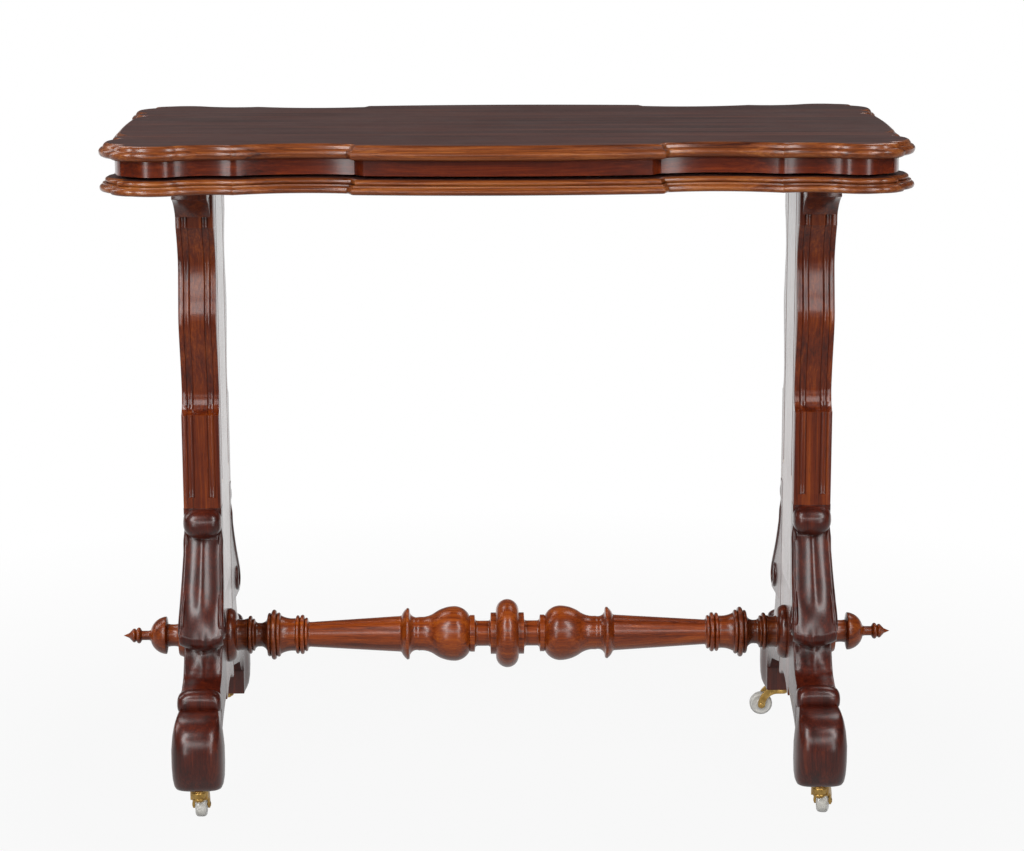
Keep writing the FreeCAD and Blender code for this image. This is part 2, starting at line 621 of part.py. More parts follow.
# Stretcher, bosses and finials
half_turning = turned(list(MIDDLE_TURNING) + placed(END_TURNING, POST_IN, -1))
tenon_end = POST_IN + STRETCHER_TENON
tenon = rod(STRETCHER_TENON_R, (STRETCHER_END_X, 0, STRETCHER_Z), (tenon_end, 0, STRETCHER_Z))
half_turning = half_turning.fuse(tenon)
pieces["stretcher"] = fused([half_turning, mirrored(half_turning, -1, 1)])
boss_bore = rod(STRETCHER_TENON_R + FIT_GAP, (STRETCHER_END_X, 0, STRETCHER_Z), (POST_IN, 0, STRETCHER_Z))
boss = turned(placed(BOSS_TURNING, STRETCHER_END_X)).cut(boss_bore)
finial = turned(placed(FINIAL_TURNING, POST_OUT))
for side_name, x_side in (("left", -1), ("right", 1)):
    pieces["%s_stretcher_boss" % side_name] = mirrored(boss, x_side, 1)
    pieces["%s_finial" % side_name] = mirrored(finial, x_side, 1)


# Castors, drawn with the pivot on Z and the wheel trailing along +X
def castor_socket():
    plate = Part.makeCylinder(PLATE_R, PLATE_T, V(0, 0, CASTOR_H - PLATE_T))
    stem = Part.makeCylinder(STEM_R, STEM_L - FIT_GAP, V(0, 0, CASTOR_H))
    pivot_foot = HUB_FOOT_Z - HUB_GAP
    pivot = Part.makeCylinder(PIVOT_R, HUB_T + 2 * HUB_GAP, V(0, 0, pivot_foot))
    rivet = Part.makeCylinder(RIVET_R, RIVET_T, V(0, 0, pivot_foot - RIVET_T))
    return fused([plate, stem, pivot, rivet])


def swan_neck(y):
    """One arm of the horn: level at the hub, then bowed over and down to the axle."""
    shoulder = V(ARM_SHOULDER, y, HUB_HEAD_Z)
    outer_end = V(TRAIL + ARM_EYE_R, y, WHEEL_R)
    inner_end = V(TRAIL - ARM_EYE_R, y, WHEEL_R)
    crook = V(TRAIL - ARM_EYE_R / 2, y, (WHEEL_R + HUB_HEAD_Z + ARM_DEPTH) / 2)
    armpit = crook - V(ARM_DEPTH, 0, ARM_DEPTH)
    root = [V(ARM_SHOULDER, y, HUB_FOOT_Z), V(0, y, HUB_FOOT_Z), V(0, y, HUB_HEAD_Z), shoulder]
    edges = [Part.Arc(shoulder, crook, outer_end).toShape(), line(outer_end, inner_end)]
    edges += [Part.Arc(inner_end, armpit, root[0]).toShape()]
    edges += [line(a, b) for a, b in zip(root, root[1:])]
    return Part.Face(Part.Wire(edges)).extrude(V(0, ARM_T, 0))


def castor_horn():
    hub = Part.makeCylinder(HUB_R, HUB_T, V(0, 0, HUB_FOOT_Z))
    inside = WHEEL_W / 2 + ARM_GAP
    arms = []
    for y in (-inside - ARM_T, inside):
        eye = Part.makeCylinder(ARM_EYE_R, ARM_T, V(TRAIL, y, WHEEL_R), V(0, 1, 0))
        arms += [swan_neck(y), eye]
    solid = fused([hub] + arms)
    pivot_hole = Part.makeCylinder(PIVOT_R + FIT_GAP, HUB_T, V(0, 0, HUB_FOOT_Z))
    reach = inside + ARM_T
    axle_hole = rod(WHEEL_BORE_R - FIT_GAP, (TRAIL, -reach, WHEEL_R), (TRAIL, reach, WHEEL_R))
    return solid.cut([pivot_hole, axle_hole])


def castor_axle():
    reach = WHEEL_W / 2 + ARM_GAP + ARM_T
    radius = WHEEL_BORE_R - 2 * FIT_GAP
    parts = [rod(radius, (TRAIL, -reach, WHEEL_R), (TRAIL, reach, WHEEL_R))]
    for end in (-1, 1):
        start = (TRAIL, end * reach, WHEEL_R)
        parts.append(rod(AXLE_HEAD_R, start, (TRAIL, end * (reach + AXLE_HEAD_T), WHEEL_R)))
    return fused(parts)


def castor_wheel():
    half = WHEEL_W / 2
    wheel = rod(WHEEL_R, (TRAIL, -half, WHEEL_R), (TRAIL, half, WHEEL_R))
    rims = [edge for edge in wheel.Edges if edge.Closed]
    bore = rod(WHEEL_BORE_R, (TRAIL, -half, WHEEL_R), (TRAIL, half, WHEEL_R))
    return wheel.makeFillet(WHEEL_ROUND, rims).cut(bore)


makers = {"socket": castor_socket, "horn": castor_horn, "axle": castor_axle, "wheel": castor_wheel}
for place, heading in CASTOR_HEADINGS.items():
    x = POST_X if place.endswith("right") else -POST_X
    y = CASTOR_Y if place.startswith("rear") else -CASTOR_Y
    for piece_name, maker in makers.items():
        shape = maker()
        shape.rotate(ORIGIN, V(0, 0, 1), heading)
        shape.translate(V(x, y, 0))
        pieces["%s_castor_%s" % (place, piece_name)] = shape

# Write one file per piece
os.makedirs("parts", exist_ok=True)
for name, shape in pieces.items():
    if not shape.isValid():
        print("not valid:", name)
    shape.exportStep("parts/%s.step" % name)
print(len(pieces), "pieces,", sum(len(shape.Solids) for shape in pieces.values()), "solids")
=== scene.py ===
# %% [markdown]
# # A mahogany serving table, dressed in Blender
# The CAD frame gives every piece its size, place and motion. This script loads it once and then
# gives the visible pieces what a cabinet maker and a polisher gave the real ones: smooth moulded
# edges, carved scroll legs, clean turnings, and old polish over mahogany. Joinery is written in
# millimetres, as on a workshop drawing, and scaled to metres once, when a mesh becomes a piece.

# %% Load the frame
import json
import math

import bmesh
import bpy
import numpy as np
from mathutils import Matrix, Vector

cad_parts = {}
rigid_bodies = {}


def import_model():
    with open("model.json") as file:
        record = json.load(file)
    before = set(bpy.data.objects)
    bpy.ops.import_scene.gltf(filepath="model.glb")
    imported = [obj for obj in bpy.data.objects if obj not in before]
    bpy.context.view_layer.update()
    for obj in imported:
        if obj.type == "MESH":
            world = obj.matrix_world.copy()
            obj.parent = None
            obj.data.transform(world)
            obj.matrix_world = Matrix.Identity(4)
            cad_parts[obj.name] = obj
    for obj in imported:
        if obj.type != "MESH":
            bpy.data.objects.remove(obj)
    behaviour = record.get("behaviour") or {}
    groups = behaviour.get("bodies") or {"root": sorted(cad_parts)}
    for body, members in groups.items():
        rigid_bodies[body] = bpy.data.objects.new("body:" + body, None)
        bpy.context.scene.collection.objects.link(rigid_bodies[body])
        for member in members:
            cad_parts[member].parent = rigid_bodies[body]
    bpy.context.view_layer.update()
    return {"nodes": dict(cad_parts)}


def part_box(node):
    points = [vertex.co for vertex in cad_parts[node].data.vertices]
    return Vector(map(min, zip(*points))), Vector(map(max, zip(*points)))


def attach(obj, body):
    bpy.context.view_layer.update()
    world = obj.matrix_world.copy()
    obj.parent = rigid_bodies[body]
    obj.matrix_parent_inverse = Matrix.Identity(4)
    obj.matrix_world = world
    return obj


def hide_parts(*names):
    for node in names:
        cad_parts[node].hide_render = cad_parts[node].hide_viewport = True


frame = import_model()
scene = bpy.context.scene

# %% [markdown]
# ## Sizes from the frame
# A dressed piece has to sit exactly where its CAD node sits. The sizes could be copied by hand from the
# drawing, but then they would go stale with it. So the main levels and widths are read off the boxes of
# the nodes, and only the shapes in between are drawn below.

# %% Sizes from the frame
MM = 1000.0


def mm_box(node):
    """Lowest and highest corner of a CAD node, in millimetres."""
    low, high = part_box(node)
    return np.array(low) * MM, np.array(high) * MM


top_low, top_high = mm_box("top_board")
tier_low, tier_high = mm_box("lower_tier")
edge_low, edge_high = mm_box("rear_right_edge")
corbel_low, corbel_high = mm_box("rear_right_corbel")
leg_low, leg_high = mm_box("rear_right_leg")
boss_low, boss_high = mm_box("right_stretcher_boss")
HALF_WIDTH = top_high[0]
HALF_DEPTH = top_high[1]
POST_X = (edge_low[0] + edge_high[0]) / 2
POST_HALF = (edge_high[0] - edge_low[0]) / 2
EDGE_IN = edge_low[1]
FASCIA_Y = edge_high[1]
LEG_TOP = leg_high[2]
CASTOR_H = leg_low[2]
LEG_H = LEG_TOP - CASTOR_H
AXIS_Z = (boss_low[2] + boss_high[2]) / 2
print("standards at", POST_X, "mm, legs", LEG_H, "mm high, stretcher at", round(AXIS_Z, 1), "mm")

# %% [markdown]
# ## Camera
# The photograph was taken from a little above the top with a long lens. A camera could be moved by eye
# until the picture fits, but a pinhole camera fitted to the table's own symmetric points is surer, and
# gives the place, the tilt and the lens below. The camera matrix is built from its three axes, because
# that keeps the small roll exact.

# %% Camera
CAMERA_PLACE = (-0.0364, -3.0405, 1.0550)
SENSOR_WIDTH = 36.0
LENS = 100.2
PITCH = math.radians(12.33)
YAW = math.radians(0.7964)
ROLL = math.radians(-0.1469)
ahead = Vector((math.sin(YAW) * math.cos(PITCH), math.cos(YAW) * math.cos(PITCH), -math.sin(PITCH)))
level = Vector((math.cos(YAW), -math.sin(YAW), 0))
above = level.cross(ahead)
right_axis = level * math.cos(ROLL) + above * math.sin(ROLL)
up_axis = above * math.cos(ROLL) - level * math.sin(ROLL)
facing = Matrix((right_axis, up_axis, -ahead)).transposed().to_4x4()
camera = bpy.data.objects.new("photo_camera", bpy.data.cameras.new("photo_camera"))
camera.data.sensor_fit = "HORIZONTAL"
camera.data.sensor_width = SENSOR_WIDTH
camera.data.lens = LENS
camera.matrix_world = Matrix.Translation(CAMERA_PLACE) @ facing
scene.collection.objects.link(camera)
scene.camera = camera
scene.view_settings.view_transform = "Standard"
print("camera at", tuple(round(v, 3) for v in camera.location), "lens", camera.data.lens)

# %% [markdown]
# ## Small helpers for node trees
# A material is a small machine of nodes. These helpers keep the recipes short: one adds a node and
# sets what it is told, one joins an output to an input, and the others do sums and mix colours.

# %% Node helpers
def add(tree, kind, inputs=None, **settings):
    node = tree.nodes.new("ShaderNode" + kind)
    for key, value in settings.items():
        setattr(node, key, value)
    for key, value in (inputs or {}).items():
        node.inputs[key].default_value = value
    return node


def join(tree, start, end):
    tree.links.new(start, end)


def feed(tree, value, socket):
    """Sets a socket to a constant, or joins it to an output."""
    if isinstance(value, (int, float, tuple)):
        socket.default_value = value
    else:
        join(tree, value, socket)


def maths(tree, operation, first, second):
    node = add(tree, "Math", operation=operation)
    feed(tree, first, node.inputs[0])
    feed(tree, second, node.inputs[1])
    return node.outputs[0]


def spread(tree, value, low, high, to_low=0.0, to_high=1.0):
    """Maps a range of one value onto another range, and holds it there."""
    limits = {"From Min": low, "From Max": high, "To Min": to_low, "To Max": to_high}
    node = add(tree, "MapRange", limits)
    join(tree, value, node.inputs["Value"])
    return node.outputs["Result"]


def blended(tree, amount, first, second, blend_type="MIX"):
    """Mixes two colours by an amount that changes over the surface."""
    node = add(tree, "Mix", data_type="RGBA", blend_type=blend_type)
    colour_inputs = [socket for socket in node.inputs if socket.type == "RGBA"]
    feed(tree, amount, node.inputs[0])
    feed(tree, first, colour_inputs[0])
    feed(tree, second, colour_inputs[1])
    return [socket for socket in node.outputs if socket.type == "RGBA"][0]


print("node helpers ready")

# %% [markdown]
# ## Floor and surroundings
# The table stands on a white sweep of paper in a dim studio. Strong lamps could make everything round
# it white, but they would bleach the wood as well. So the world shows itself as plain white to the
# camera and lights the table as a dark grey room. Polished wood needs something dark to reflect, or it
# looks milky, so in reflections the world is white only at the horizon, where the sweep ends, and keeps
# a faint haze above it.

# %% World
ROOM_GREY = 0.05
SWEEP_END = (0.005, 0.03)
HAZE_END = (0.15, 0.5)
HAZE = 0.12


def grey(value):
    return (value, value, value, 1.0)


def seen_directly(tree, rays):
    """One for rays from the camera and through glass, nought for all others."""
    return maths(tree, "MAXIMUM", rays.outputs["Is Camera Ray"], rays.outputs["Is Transmission Ray"])


def mix_to_surface(tree, mask, first, second, output):
    """Mixes two shaders by a mask and joins the mix to a new output node."""
    mix = add(tree, "MixShader")
    join(tree, mask, mix.inputs[0])
    join(tree, first.outputs[0], mix.inputs[1])
    join(tree, second.outputs[0], mix.inputs[2])
    join(tree, mix.outputs[0], add(tree, output).inputs["Surface"])


world = bpy.data.worlds.new("studio")
world.use_nodes = True
scene.world = world
sky = world.node_tree
sky.nodes.clear()
rays = add(sky, "LightPath")
heading = add(sky, "TexCoord")
compass = add(sky, "SeparateXYZ")
join(sky, heading.outputs["Generated"], compass.inputs[0])
room = add(sky, "Background", {"Color": grey(ROOM_GREY), "Strength": 1.0})
white = add(sky, "Background", {"Color": grey(1.0), "Strength": 1.0})
sweep_end = spread(sky, compass.outputs["Z"], *SWEEP_END, 1.0, 0.0)
low_haze = spread(sky, compass.outputs["Z"], *HAZE_END, HAZE, 0.0)
low_white = maths(sky, "MAXIMUM", sweep_end, low_haze)
mirrored = maths(sky, "MULTIPLY", rays.outputs["Is Glossy Ray"], low_white)
shown = maths(sky, "MAXIMUM", seen_directly(sky, rays), mirrored)
mix_to_surface(sky, shown, room, white, "OutputWorld")
print("world", world.name, "is white to the camera and dim to the table")

# %% [markdown]
# The paper works in the same way. Near the feet it keeps a part of its ordinary shading, so the soft
# shadow stays. In reflections it is white behind the table and grows dim towards the camera.

# %% Paper floor
FLOOR_RADIUS = 24.0
PAPER_GREY = 0.14
SHADOW_REACH = (0.5, 1.2)
WHITE_NEAR_FEET = 0.93
NEAR_PAPER = (-1.3, -0.1)
NEAR_MIRROR = (0.02, 0.5)
FAR_PAPER = (0.0, 0.6)
bpy.ops.mesh.primitive_circle_add(vertices=96, radius=FLOOR_RADIUS, fill_type="NGON")
floor = bpy.context.object
floor.name = "studio_floor"
paper = bpy.data.materials.new("white_paper")
paper.use_nodes = True
tree = paper.node_tree
tree.nodes.clear()
matt = add(tree, "BsdfDiffuse", {"Color": grey(PAPER_GREY)})
glow = add(tree, "Emission", {"Color": grey(1.0), "Strength": 1.0})
rays = add(tree, "LightPath")
spot = add(tree, "TexCoord")
reach = add(tree, "VectorMath", operation="LENGTH")
join(tree, spot.outputs["Object"], reach.inputs[0])
along = add(tree, "SeparateXYZ")
join(tree, spot.outputs["Object"], along.inputs[0])
lit = spread(tree, reach.outputs["Value"], *SHADOW_REACH, WHITE_NEAR_FEET, 1.0)
near_white = spread(tree, along.outputs["Y"], *NEAR_PAPER, *NEAR_MIRROR)
far_white = spread(tree, along.outputs["Y"], *FAR_PAPER)
paper_white = maths(tree, "MAXIMUM", near_white, far_white)
mirrored = maths(tree, "MULTIPLY", rays.outputs["Is Glossy Ray"], paper_white)
direct = maths(tree, "MULTIPLY", seen_directly(tree, rays), lit)
shown = maths(tree, "MAXIMUM", direct, mirrored)
mix_to_surface(tree, shown, matt, glow, "OutputMaterial")
floor.data.materials.append(paper)
print("floor of radius", FLOOR_RADIUS, "m")

# %% [markdown]
# ## Lamps
# One big lamp would light the table evenly, but polished wood shows its shape by what it mirrors, so
# the lamps are soft boxes placed where the highlights in the photograph come from, in pairs left and
# right, with the right-hand ones in front a little weaker. High boxes give the sheen on the ribs of the
# legs, upright strips the sheens on the band, and wide boxes near the camera the sheen on the swelling
# fronts of the standards. Two boxes high up behind the table keep its back from going dark, and one at
# the far left lights the rims of the board ends.

# %% Lamps
AIM = Vector((0, 0, 0.4))
# Name, place of the right-hand one, width, height, watts on the left and on the right
PAIRED_LAMPS = (
    ("soft_box", (1.5, -1.75, 2.35), 0.55, 1.9, 40.0, 34.0),
    ("strip", (1.1, -1.9, 0.75), 0.32, 1.5, 9.5, 8.075),
    ("front_box", (0.65, -2.3, 1.3), 1.1, 0.42, 7.0, 5.95),
    ("rear_box", (1.3, 1.3, 2.9), 1.0, 1.0, 12.0, 12.0),
)


def soft_box(name, place, width, height, watts):
    """A soft box that faces the table."""
    lamp = bpy.data.lights.new(name, "AREA")
    lamp.shape = "RECTANGLE"
    lamp.size = width
    lamp.size_y = height
    lamp.energy = watts
    holder = bpy.data.objects.new(name, lamp)
    holder.location = place
    holder.rotation_euler = (AIM - Vector(place)).to_track_quat("-Z", "Y").to_euler()
    holder.visible_camera = False
    scene.collection.objects.link(holder)


for name, (x, y, z), width, height, left_watts, right_watts in PAIRED_LAMPS:
    soft_box("left_" + name, (-x, y, z), width, height, left_watts)
    soft_box("right_" + name, (x, y, z), width, height, right_watts)
soft_box("far_left_soft_box", (-2.4, 0.5, 1.9), 0.6, 1.6, 14.0)
print(2 * len(PAIRED_LAMPS) + 1, "soft boxes")

# %% [markdown]
# ## Mahogany grain
# Mahogany has long soft streaks, fine lines along the grain, short dark pores and, in places, a broad
# figure. One node group makes all four from a position whose Z runs along the grain, so that every
# board can use it with its own direction. A picture of wood could be wrapped round each piece, but
# then the grain would not run on over edges. The noises are only stretched: across the grain they
# repeat often, along it hardly at all.

# %% Grain group
def new_group(name, inputs, outputs):
    """An empty node group with its sockets, and the two nodes that stand for them inside."""
    group = bpy.data.node_groups.new(name, "ShaderNodeTree")
    for socket, kind in inputs:
        group.interface.new_socket(socket, in_out="INPUT", socket_type="NodeSocket" + kind)
    for socket in outputs:
        group.interface.new_socket(socket, in_out="OUTPUT", socket_type="NodeSocketFloat")
    return group, group.nodes.new("NodeGroupInput"), group.nodes.new("NodeGroupOutput")


def stretched_noise(tree, place, across, lengthwise, detail, distortion=0.0):
    """A noise with its own number of repeats to a metre across the grain and along it."""
    scaled = add(tree, "VectorMath", operation="MULTIPLY")
    scaled.inputs[1].default_value = (across, across, lengthwise)
    join(tree, place, scaled.inputs[0])
    knobs = {"Scale": 1.0, "Detail": detail, "Roughness": 0.6, "Distortion": distortion}
    noise = add(tree, "TexNoise", knobs)
    join(tree, scaled.outputs[0], noise.inputs["Vector"])
    return noise.outputs[0]


grain, grain_in, grain_out = new_group(
    "mahogany_grain", [("Place", "Vector"), ("Wander", "Float")], ["Streak", "Line", "Figure", "Pores"])
drift = add(grain, "TexNoise", {"Scale": 2.6, "Detail": 1.0})
join(grain, grain_in.outputs["Place"], drift.inputs["Vector"])
centred = add(grain, "VectorMath", operation="SUBTRACT")
centred.inputs[1].default_value = (0.5, 0.5, 0.5)
join(grain, drift.outputs["Color"], centred.inputs[0])
swayed = add(grain, "VectorMath", operation="SCALE")
join(grain, centred.outputs[0], swayed.inputs[0])
join(grain, grain_in.outputs["Wander"], swayed.inputs["Scale"])
grown = add(grain, "VectorMath", operation="ADD")
join(grain, grain_in.outputs["Place"], grown.inputs[0])
join(grain, swayed.outputs[0], grown.inputs[1])
# Each noise with the range of it that is spread from nought to one
noises = {
    "Streak": (stretched_noise(grain, grown.outputs[0], 95, 2.6, 4.0, 0.4), 0.28, 0.72),
    "Line": (stretched_noise(grain, grown.outputs[0], 620, 7.0, 3.0), 0.3, 0.7),
    "Figure": (stretched_noise(grain, grown.outputs[0], 15, 5.0, 2.0, 0.8), 0.3, 0.7),
    "Pores": (stretched_noise(grain, grown.outputs[0], 2300, 75.0, 1.0), 0.6, 0.72),
}
for socket, (noise, low, high) in noises.items():
    join(grain, spread(grain, noise, low, high), grain_out.inputs[socket])
print("group", grain.name, "puts out", ", ".join(noises))

# %% [markdown]
# ## Wear, old wax and painted shade
# Hands and dusters rub the polish thin on arrises. Hollows are painted darker, partly as old wax and partly
# as painted shade in quirks. The meshes below carry a number for each point, called edge, that is positive
# on outer corners and negative in hollows.
# Blender can also measure corners while it renders, but this number is worked out once and kept in the mesh.
# Blender can also measure corners while it renders, but an exported model would lose that. This group breaks
# the number up with a little noise and splits it into a rub mask and a mask of old wax and painted shade. A
# third mask, haze, is a slow cloud of finger marks.

# %% Wear and painted shade group
wear_and_shade, wear_and_shade_in, wear_and_shade_out = new_group(
    "old_polish", [("Place", "Vector"), ("Edge", "Float")], ["Rub", "Wax", "Haze"])
speckle = add(wear_and_shade, "TexNoise", {"Scale": 160.0, "Detail": 3.0, "Roughness": 0.65})
join(wear_and_shade, wear_and_shade_in.outputs["Place"], speckle.inputs["Vector"])
broken = spread(wear_and_shade, speckle.outputs[0], 0.3, 0.65, 0.25, 1.0)
rub = spread(wear_and_shade, wear_and_shade_in.outputs["Edge"], 0.14, 0.8)
join(wear_and_shade, maths(wear_and_shade, "MULTIPLY", rub, broken), wear_and_shade_out.inputs["Rub"])
# Hollow mask: old wax, and painted shade in quirks and creases.
join(wear_and_shade, spread(wear_and_shade, wear_and_shade_in.outputs["Edge"], -0.05, -0.4), wear_and_shade_out.inputs["Wax"])
cloud = add(wear_and_shade, "TexNoise", {"Scale": 11.0, "Detail": 4.0, "Roughness": 0.7})
join(wear_and_shade, wear_and_shade_in.outputs["Place"], cloud.inputs["Vector"])
join(wear_and_shade, spread(wear_and_shade, cloud.outputs[0], 0.35, 0.7), wear_and_shade_out.inputs["Haze"])
print("group", wear_and_shade.name, "puts out rub, wax and haze")

# %% [markdown]
# ## Polished mahogany
# Old shellac and wax make a satin coat over stained wood, so the Principled shader's coat does the
# gloss and the base below stays rougher. One glossy surface would be simpler, but then the colour and
# the sheen could not be set apart. Where the polish has gone hazy, the coat is thinner. Pores and lines
# also dent the surface very slightly.

# %% Mahogany recipe
ALONG_X = (0.0, math.radians(-90), 0.0)
ALONG_Z = (0.0, 0.0, 0.0)
STREAK_SHARE = 0.62
DARK_AT = 0.12
MIDDLE_AT = 0.52
LIGHT_AT = 0.92
FIGURE_TINT = (0.62, 0.50, 0.46, 1)
PORE_SHARE = 0.55
PORE_SHADE = 0.35
RUB_SHARE = 0.35
RUB_SHADE = 1.5
RUB_LIFT = 0.02
# Darkening of hollows, share and tone: old wax and painted shade.
WAX_AND_SHADE_SHARE = 0.75
WAX_AND_SHADE_TONE = 0.18
CLEAR_ROUGH = -0.05
HAZY_ROUGH = 0.07
WAX_ROUGH = 0.2
HAZY_COAT = 0.88
LINE_DENT = 0.35


def linear(red, green, blue):
    """A colour picked as on screen, 0 to 255, turned into the linear values that nodes use."""
    shares = [v / 255 for v in (red, green, blue)]
    return tuple(v / 12.92 if v < 0.0405 else ((v + 0.055) / 1.055) ** 2.4 for v in shares) + (1.0,)


def tones(*colours):
    return tuple(linear(*colour) for colour in colours)


def scaled_colour(colour, factor, lift=0.0):
    return tuple(min(1.0, c * factor + lift) for c in colour[:3]) + (1.0,)


def tinted(tree, mask, share, colour, tint, blend_type="MIX"):
    """Lays a tint over a colour by a share of a mask."""
    return blended(tree, maths(tree, "MULTIPLY", mask, share), colour, tint, blend_type)


def worn_and_shaded_material(name):
    """A new material with its tree, its shader, the place on the object and the masks of wear and painted
    shade.
    """
    material = bpy.data.materials.new(name)
    material.use_nodes = True
    tree = material.node_tree
    place = add(tree, "TexCoord").outputs["Object"]
    edge = add(tree, "Attribute", attribute_name="edge")
    wear_and_shade_masks = add(tree, "Group", node_tree=wear_and_shade)
    join(tree, place, wear_and_shade_masks.inputs["Place"])
    join(tree, edge.outputs["Fac"], wear_and_shade_masks.inputs["Edge"])
    return material, tree, tree.nodes["Principled BSDF"], place, wear_and_shade_masks


def mahogany(name, colours, grain_turn, wander=0.02, figure=0.5, gloss=1.0, base_rough=0.42,
             coat_rough=0.2):
    """A material from three colours, the way the grain runs, and how even and how glossy it is."""
    dark, middle, light = colours
    material, tree, shader, place, wear_and_shade_masks = worn_and_shaded_material(name)
    turn = add(tree, "Mapping", {"Rotation": grain_turn})
    join(tree, place, turn.inputs["Vector"])
    wood = add(tree, "Group", node_tree=grain)
    wood.inputs["Wander"].default_value = wander
    join(tree, turn.outputs[0], wood.inputs["Place"])

    streaks = maths(tree, "MULTIPLY", wood.outputs["Streak"], STREAK_SHARE)
    lines = maths(tree, "MULTIPLY", wood.outputs["Line"], 1 - STREAK_SHARE)
    ramp = add(tree, "ValToRGB")
    ramp.color_ramp.elements[0].position = DARK_AT
    ramp.color_ramp.elements[0].color = dark
    ramp.color_ramp.elements[1].position = LIGHT_AT
    ramp.color_ramp.elements[1].color = light
    ramp.color_ramp.elements.new(MIDDLE_AT).color = middle
    join(tree, maths(tree, "ADD", streaks, lines), ramp.inputs["Fac"])
    colour = tinted(tree, wood.outputs["Figure"], figure, ramp.outputs["Color"], FIGURE_TINT, "MULTIPLY")
    colour = tinted(tree, wood.outputs["Pores"], PORE_SHARE, colour, scaled_colour(dark, PORE_SHADE))
    rubbed = scaled_colour(light, RUB_SHADE, RUB_LIFT)
    colour = tinted(tree, wear_and_shade_masks.outputs["Rub"], RUB_SHARE, colour, rubbed)
    # Hollows painted darker: old wax and painted shade.
    colour = tinted(tree, wear_and_shade_masks.outputs["Wax"], WAX_AND_SHADE_SHARE, colour, scaled_colour(dark, WAX_AND_SHADE_TONE))
    join(tree, colour, shader.inputs["Base Color"])

    rough_range = (base_rough + CLEAR_ROUGH, base_rough + HAZY_ROUGH)
    hazy = spread(tree, wear_and_shade_masks.outputs["Haze"], 0.0, 1.0, *rough_range)
    waxy = maths(tree, "MULTIPLY", wear_and_shade_masks.outputs["Wax"], WAX_ROUGH)
    join(tree, maths(tree, "ADD", hazy, waxy), shader.inputs["Roughness"])
    if gloss:
        thin_coat = spread(tree, wear_and_shade_masks.outputs["Haze"], 0.0, 1.0, gloss, gloss * HAZY_COAT)
        join(tree, thin_coat, shader.inputs["Coat Weight"])
    shader.inputs["Coat Roughness"].default_value = coat_rough
    ridges = maths(tree, "MULTIPLY", wood.outputs["Line"], LINE_DENT)
    dents = maths(tree, "SUBTRACT", ridges, wood.outputs["Pores"])
    bump = add(tree, "Bump", {"Strength": 0.06, "Distance": 0.0004})
    join(tree, dents, bump.inputs["Height"])
    join(tree, bump.outputs["Normal"], shader.inputs["Normal"])
    shader.inputs["Specular IOR Level"].default_value = 0.1
    shader.inputs["Coat IOR"].default_value = 1.5
    return material


print("mahogany recipe ready")

# %% [markdown]
# ## Mahogany finishes
# In the photograph the parts of the table differ in colour and sheen, from the dark legs to the golden
# turnings. One finish for all would look flat. So each use of the recipe has its own colours, dark to
# light, its own direction of the grain and its own roughness of the coat.

# %% Mahogany finishes
post_tones = tones((52, 12, 2), (104, 36, 4), (150, 70, 14))
finishes = {
    "top_surface": mahogany(
        "polished_top", tones((42, 20, 17), (82, 44, 38), (118, 69, 54)), ALONG_X,
        wander=0.01, figure=0.6, gloss=0.7, coat_rough=0.4),
    "moulding": mahogany(
        "polished_moulding", tones((62, 22, 6), (130, 66, 26), (174, 106, 50)), ALONG_X,
        coat_rough=0.23),
    "band": mahogany(
        "polished_band", tones((54, 12, 2), (98, 30, 4), (140, 56, 12)), ALONG_X,
        coat_rough=0.2),
    "post": mahogany(
        "polished_post", post_tones, ALONG_Z,
        figure=0.7, coat_rough=0.21),
    "cheek": mahogany(
        "polished_cheek", post_tones, ALONG_Z,
        coat_rough=0.15),
    "turning": mahogany(
        "polished_turning", tones((86, 28, 3), (148, 64, 11), (190, 98, 26)), ALONG_X,
        wander=0.03, figure=0.6, coat_rough=0.25),
    # The bosses are painted darker than the turnings: painted shade where they meet the standards.
    "boss": mahogany(
        "polished_boss", tones((52, 12, 2), (104, 38, 6), (150, 66, 14)), ALONG_X,
        wander=0.03, figure=0.6, coat_rough=0.22),
    "leg": mahogany(
        "polished_leg", tones((40, 10, 4), (74, 22, 9), (106, 40, 16)), ALONG_Z,
        wander=0.03, coat_rough=0.26),
}
print("mahogany finishes:", ", ".join(finishes))

# %% [markdown]
# ## Other finishes
# The castors are aged brass with white porcelain wheels; the hidden rails are plain unpolished wood
# held with steel screws. Brass gets a tarnish mask from noise, porcelain a faint mottled glaze, steel
# a brushed grain, and plain wood reuses the mahogany recipe in pale colours without a coat.

